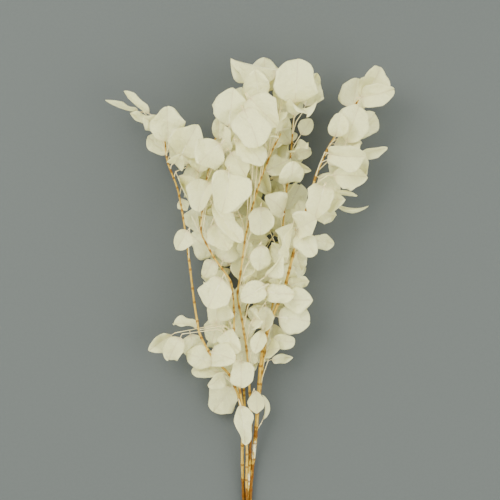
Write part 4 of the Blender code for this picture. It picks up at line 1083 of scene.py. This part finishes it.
def twig_strings(name, parts):
    """The stem and side shoots of a branch, as strings of points with their radius and looks."""
    route, radii = parts["stem"]
    points = rounded_route(route, STEM_ROUNDING, TWIG_STEP)
    points = np.insert(points, 1, points[0] + (points[1] - points[0]) * 0.12, axis=0)
    radius = np.interp(np.linspace(0, 1, len(points)), np.linspace(0, 1, len(radii)), radii)
    forks = [tuple(twig[0]) for twig in parts["shoots"].values()]
    joints = stem_joints(points, random.Random(GROWTH_SEED + len(name)))
    knots = closeness(points, forks + joints, JOINT_REACH)
    bark, peeled = (covered(points[:, 1], part) for part in (BRANCHES[name].bark, BRANCHES[name].peeled))
    cut = np.zeros(len(points))
    cut[0] = 1.0
    swell = np.minimum(radius * 0.4, JOINT_SWELLING) * knots
    strings = [(points, radius + swell, knots, bark, peeled, cut, cut * 0)]
    roots = [tuple(leaf.root) for leaf in parts["leaves"]]
    for twig in parts["shoots"].values():
        points = rounded_route(twig, SHOOT_ROUNDING, TWIG_STEP)
        share = np.linspace(0, 1, len(points))
        knots = closeness(points, [tuple(twig[0]), *roots], JOINT_REACH * 0.7) * 0.8
        radius = shoot_radius(share) * np.where(share < 1, 1.0, 0.6)
        thick = radius * (SHOOT_SLIMNESS + 0.3 * knots)
        strings.append((points, thick, knots * 0.7, *[share * 0] * 3, SHOOT_PALENESS + 0.4 * share))
    return strings


def joined_strings(strings):
    """Points, edges and values of many strings, one after the other."""
    edges, start = [], 0
    for points, *_ in strings:
        edges += [(start + k, start + k + 1) for k in range(len(points) - 1)]
        start += len(points)
    return [np.concatenate(column) for column in zip(*strings)], edges


def twigs_piece(name, parts, tree, finish, shift, seed):
    (points, radius, *looks), edges = joined_strings(twig_strings(name, parts))
    numbers = {"radius_here": radius, **dict(zip(TWIG_LOOKS, looks))}
    thing = host_mesh(name + "_twigs", points.tolist(), edges, {}, numbers)
    values = {"Sides": TWIG_SIDES, "Bark relief": BARK_RELIEF, "Seed": seed, "Shift": shift, "Finish": finish}
    return grown_mesh(thing, tree, values)


def stalk_string(leaf):
    """The stalk of a leaf and its rib, which thins out towards the tip."""
    foot = leaf.root - (leaf.base - leaf.root).normalized() * 0.0006
    rib = blade_points(leaf, RIB_SHARES, np.zeros(len(RIB_SHARES)))
    points = [foot, leaf.root, leaf.root.lerp(leaf.base, 0.5), leaf.base, *rib]
    size = (leaf.length / 0.05) ** 0.5
    return np.array([tuple(p) for p in points]), np.array(STALK_RADII) * size


def leaves_piece(name, parts, tree, finishes, shift, seed):
    leaves = parts["leaves"]
    (stalks, radius), edges = joined_strings([stalk_string(leaf) for leaf in leaves])
    count, rest = len(leaves), len(stalks)
    points = [tuple(leaf.base) for leaf in leaves] + stalks.tolist()
    arrows = {key: [tuple(getattr(leaf, key)) for leaf in leaves] + [(0, 0, 0)] * rest for key in LEAF_ARROWS}
    numbers = {key: [getattr(leaf, key) for leaf in leaves] + [0] * rest for key in LEAF_NUMBERS}
    numbers["is_leaf"] = [1] * count + [0] * rest
    numbers["radius_here"] = [0] * count + radius.tolist()
    numbers["rib_share"] = [0] * count + list(RIB_PALENESS) * count
    edges = [(a + count, b + count) for a, b in edges]
    thing = host_mesh(name + "_leaves", points, edges, arrows, numbers)
    values = {
        "Rows": BLADE_ROWS, "Columns": BLADE_COLUMNS, "Middle thickness": MIDDLE_THICKNESS,
        "Rim thickness": RIM_THICKNESS, "Pucker": PUCKER, "Nibble": NIBBLE, "Stalk sides": STALK_SIDES,
        "Shift": shift, "Seed": seed, "Leaf finish": finishes[0], "Stalk finish": finishes[1],
    }
    return grown_mesh(thing, tree, values)


def new_material(name, shine):
    material = bpy.data.materials.new(name)
    material.use_nodes = True
    shader = material.node_tree.nodes["Principled BSDF"]
    shader.inputs["Specular IOR Level"].default_value = shine
    return material, material.node_tree, shader


def dress(tree, shader, colour, roughness, relief=None, depth=0.0, strength=0.0):
    """Gives a shader its colour, roughness and relief. Returns the relief's normal."""
    plug(tree, colour, shader.inputs["Base Color"])
    plug(tree, roughness, shader.inputs["Roughness"])
    if relief is None:
        return None
    normal = add(tree, "ShaderNodeBump", {"Height": relief, "Distance": depth, "Strength": strength})
    plug(tree, normal, shader.inputs["Normal"])
    return normal


def attribute(tree, name, output="Fac"):
    return add(tree, "ShaderNodeAttribute", output=output, attribute_name=name)


def blend(tree, share, first, second):
    """A colour between two others."""
    return add(tree, "ShaderNodeMix", {0: share, 6: first, 7: second}, output=2, data_type="RGBA")


def bleached_leaf():
    """Papery cream leaf: fine pale veins, a tan rim, and light that comes through."""
    material, tree, shader = new_material("bleached_leaf", 0.25)
    place = attribute(tree, "blade_place", "Vector")
    tone, rim = attribute(tree, "tone"), attribute(tree, "rim")
    across, along = size_of(place.part("X")), place.part("Y")
    wobble = noise(tree, place, 110.0) * 0.004
    slant = ((along - across * 0.7 + wobble) / SIDE_VEIN_GAP).step("FRACT") - 0.5
    side_veins = (size_of(slant) * 2.0).rise(0.86, 0.97)
    net = {"Vector": place, "Scale": 1.0 / NET_VEIN_GAP}
    edge = add(tree, "ShaderNodeTexVoronoi", net, feature="DISTANCE_TO_EDGE")
    net_veins = 1.0 - edge.rise(0.03, 0.14)
    rib = 1.0 - across.rise(0.0003, 0.0013)
    mottle = noise(tree, place, 160.0, 5.0)

    colour = blend(tree, tone * 0.45 + mottle * 0.9 + 0.3, SHADED_CREAM, PALE_CREAM)
    colour = blend(tree, 0.40 - side_veins * 0.40 - net_veins * 0.30, colour, SHADED_CREAM)
    colour = blend(tree, side_veins * 0.7 + net_veins * 0.40, colour, VEIN_CREAM)
    colour = blend(tree, rib * 0.5 + (1.0 - along.rise(0.001, 0.007)) * 0.5, colour, RIB_OCHRE)
    colour = blend(tree, rim.rise(0.94, 1.0) * 0.35, colour, RIM_TAN)
    colour = blend(tree, noise(tree, place, 420.0, 1.0).rise(0.27, 0.31) * 0.5, colour, SPECK_BROWN)

    grain = noise(tree, place, 1400.0, 3.0)
    creases = noise(tree, place + noise(tree, place, 60.0) * 0.02, 70.0, 4.0)
    relief = side_veins * 0.9 + net_veins * 0.5 + rib * 0.5 + mottle * 2.0 + grain * 0.5 + creases * 20.0
    normal = dress(tree, shader, colour, mottle * 0.3 + 0.66, relief, 0.0003, 0.8)
    glow = {"Color": blend(tree, 0.55, colour, GLOW_CREAM), "Normal": normal}
    through = add(tree, "ShaderNodeBsdfTranslucent", glow)
    mixed = {0: LIGHT_THROUGH, 1: Term(tree, shader.outputs[0]), 2: through}
    plug(tree, add(tree, "ShaderNodeMixShader", mixed), tree.nodes["Material Output"].inputs["Surface"])
    return material


def twig_bark():
    """Ochre twig, darker at its joints, with red-brown bark that flakes off pale wood low down."""
    material, tree, shader = new_material("twig_bark", 0.08)
    joint, bark, bare, cut, pale = (attribute(tree, name) for name in TWIG_LOOKS)
    spot = add(tree, "ShaderNodeTexCoord", output=3)
    drawn = drawn_out(tree, spot, FIBRE_GRAIN)
    fibre = noise(tree, drawn, 2600.0, 4.0)
    patches = noise(tree, drawn, 520.0, 4.0)
    speckle = noise(tree, spot, 900.0, 2.0)

    colour = blend(tree, fibre * 1.6 + patches * 2.2 + 0.5, TWIG_OCHRE, TWIG_STRAW)
    colour = blend(tree, pale, colour, TWIG_CREAM)
    colour = blend(tree, (patches * 1.3 + bare * 0.42 - 0.30).rise(0.0, 0.05) * 0.9, colour, PEELED_WOOD)
    flaked = (patches * 1.6 + bark * 0.62 - 0.42).rise(0.0, 0.05)
    rust = blend(tree, fibre * 2.0 + speckle * 1.5 + 0.4, BARK_BROWN, BARK_RUST)
    colour = blend(tree, flaked * 0.95, colour, rust)
    colour = blend(tree, (joint + speckle * 0.8 - 0.45).rise(0.0, 0.35) * 0.75, colour, JOINT_BROWN)
    colour = blend(tree, cut, colour, PEELED_WOOD)
    dress(tree, shader, colour, fibre * 0.3 + 0.68, fibre * 1.2 + flaked * 0.8 + speckle * 0.6, 0.0004, 0.9)
    return material


def leaf_stalk():
    """Stalk and rib of a leaf: ochre at the foot, cream where it enters the blade."""
    material, tree, shader = new_material("leaf_stalk", 0.2)
    streaks = noise(tree, add(tree, "ShaderNodeTexCoord", output=3), 900.0, 4.0)
    shade = blend(tree, attribute(tree, "rib_share") + streaks * 0.5, STALK_OCHRE, RIB_CREAM)
    dress(tree, shader, shade, streaks * 0.3 + 0.68, streaks, 0.0002, 0.5)
    return material


def studio_floor():
    material, tree, shader = new_material("studio_floor", 0.2)
    grain = noise(tree, add(tree, "ShaderNodeTexCoord", output=3), 300.0, 3.0)
    dress(tree, shader, blend(tree, grain + 0.5, FLOOR_GREY, FLOOR_PALE), 0.9)
    bpy.ops.mesh.primitive_plane_add(size=FLOOR_SIZE)
    floor = bpy.context.object
    floor.name = "studio_floor"
    floor.data.materials.append(material)


def placed(name, data, place):
    """Puts a light or camera in the studio."""
    thing = bpy.data.objects.new(name, data)
    thing.location = place
    bpy.context.scene.collection.objects.link(thing)
    return thing


def soft_light(name, place, size, power):
    lamp = bpy.data.lights.new(name, "AREA")
    lamp.size = size
    lamp.energy = power
    placed(name, lamp, place).rotation_euler = Vector(place).to_track_quat("Z", "Y").to_euler()


def studio(shift):
    """Floor, lights, and a camera that looks straight down on the bunch."""
    studio_floor()
    for lamp in LAMPS:
        soft_light(*lamp)
    world = bpy.data.worlds.new("studio_air")
    world.use_nodes = True
    sky = world.node_tree.nodes["Background"]
    sky.inputs["Color"].default_value = AIR_COLOUR
    sky.inputs["Strength"].default_value = AIR_LIGHT
    bpy.context.scene.world = world
    lens = bpy.data.cameras.new("camera")
    lens.lens = LENS
    lens.sensor_width = SENSOR
    distance = FRAME_SIZE / 2 / (SENSOR / 2 / LENS)
    above = Vector(FRAME_MIDDLE) + shift + Vector((0, 0, distance))
    bpy.context.scene.camera = placed("camera", lens, above)


def dressed_bunch():
    """Grows and dresses the bunch, centred on the origin. Returns how far that shifts it."""
    garden, grown = grow_bunch()
    low = np.min([solid.low for solid in garden.solids], 0)
    high = np.max([solid.high for solid in garden.solids], 0)
    shift = Vector((-(low[0] + high[0]) / 2, -(low[1] + high[1]) / 2, -low[2]))
    blades, twigs = blades_tree(blade_spot_tree()), twigs_tree()
    leaf, stalk, bark = bleached_leaf(), leaf_stalk(), twig_bark()
    for seed, (name, parts) in enumerate(grown.items()):
        leaves = leaves_piece(name, parts, blades, (leaf, stalk), tuple(shift), seed)
        stems = twigs_piece(name, parts, twigs, bark, tuple(shift), seed)
        for piece, slot in ((leaves, "bleached_leaf"), (stems, "bark")):
            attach(piece, "root")
            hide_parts(name)
    return shift


studio(dressed_bunch())
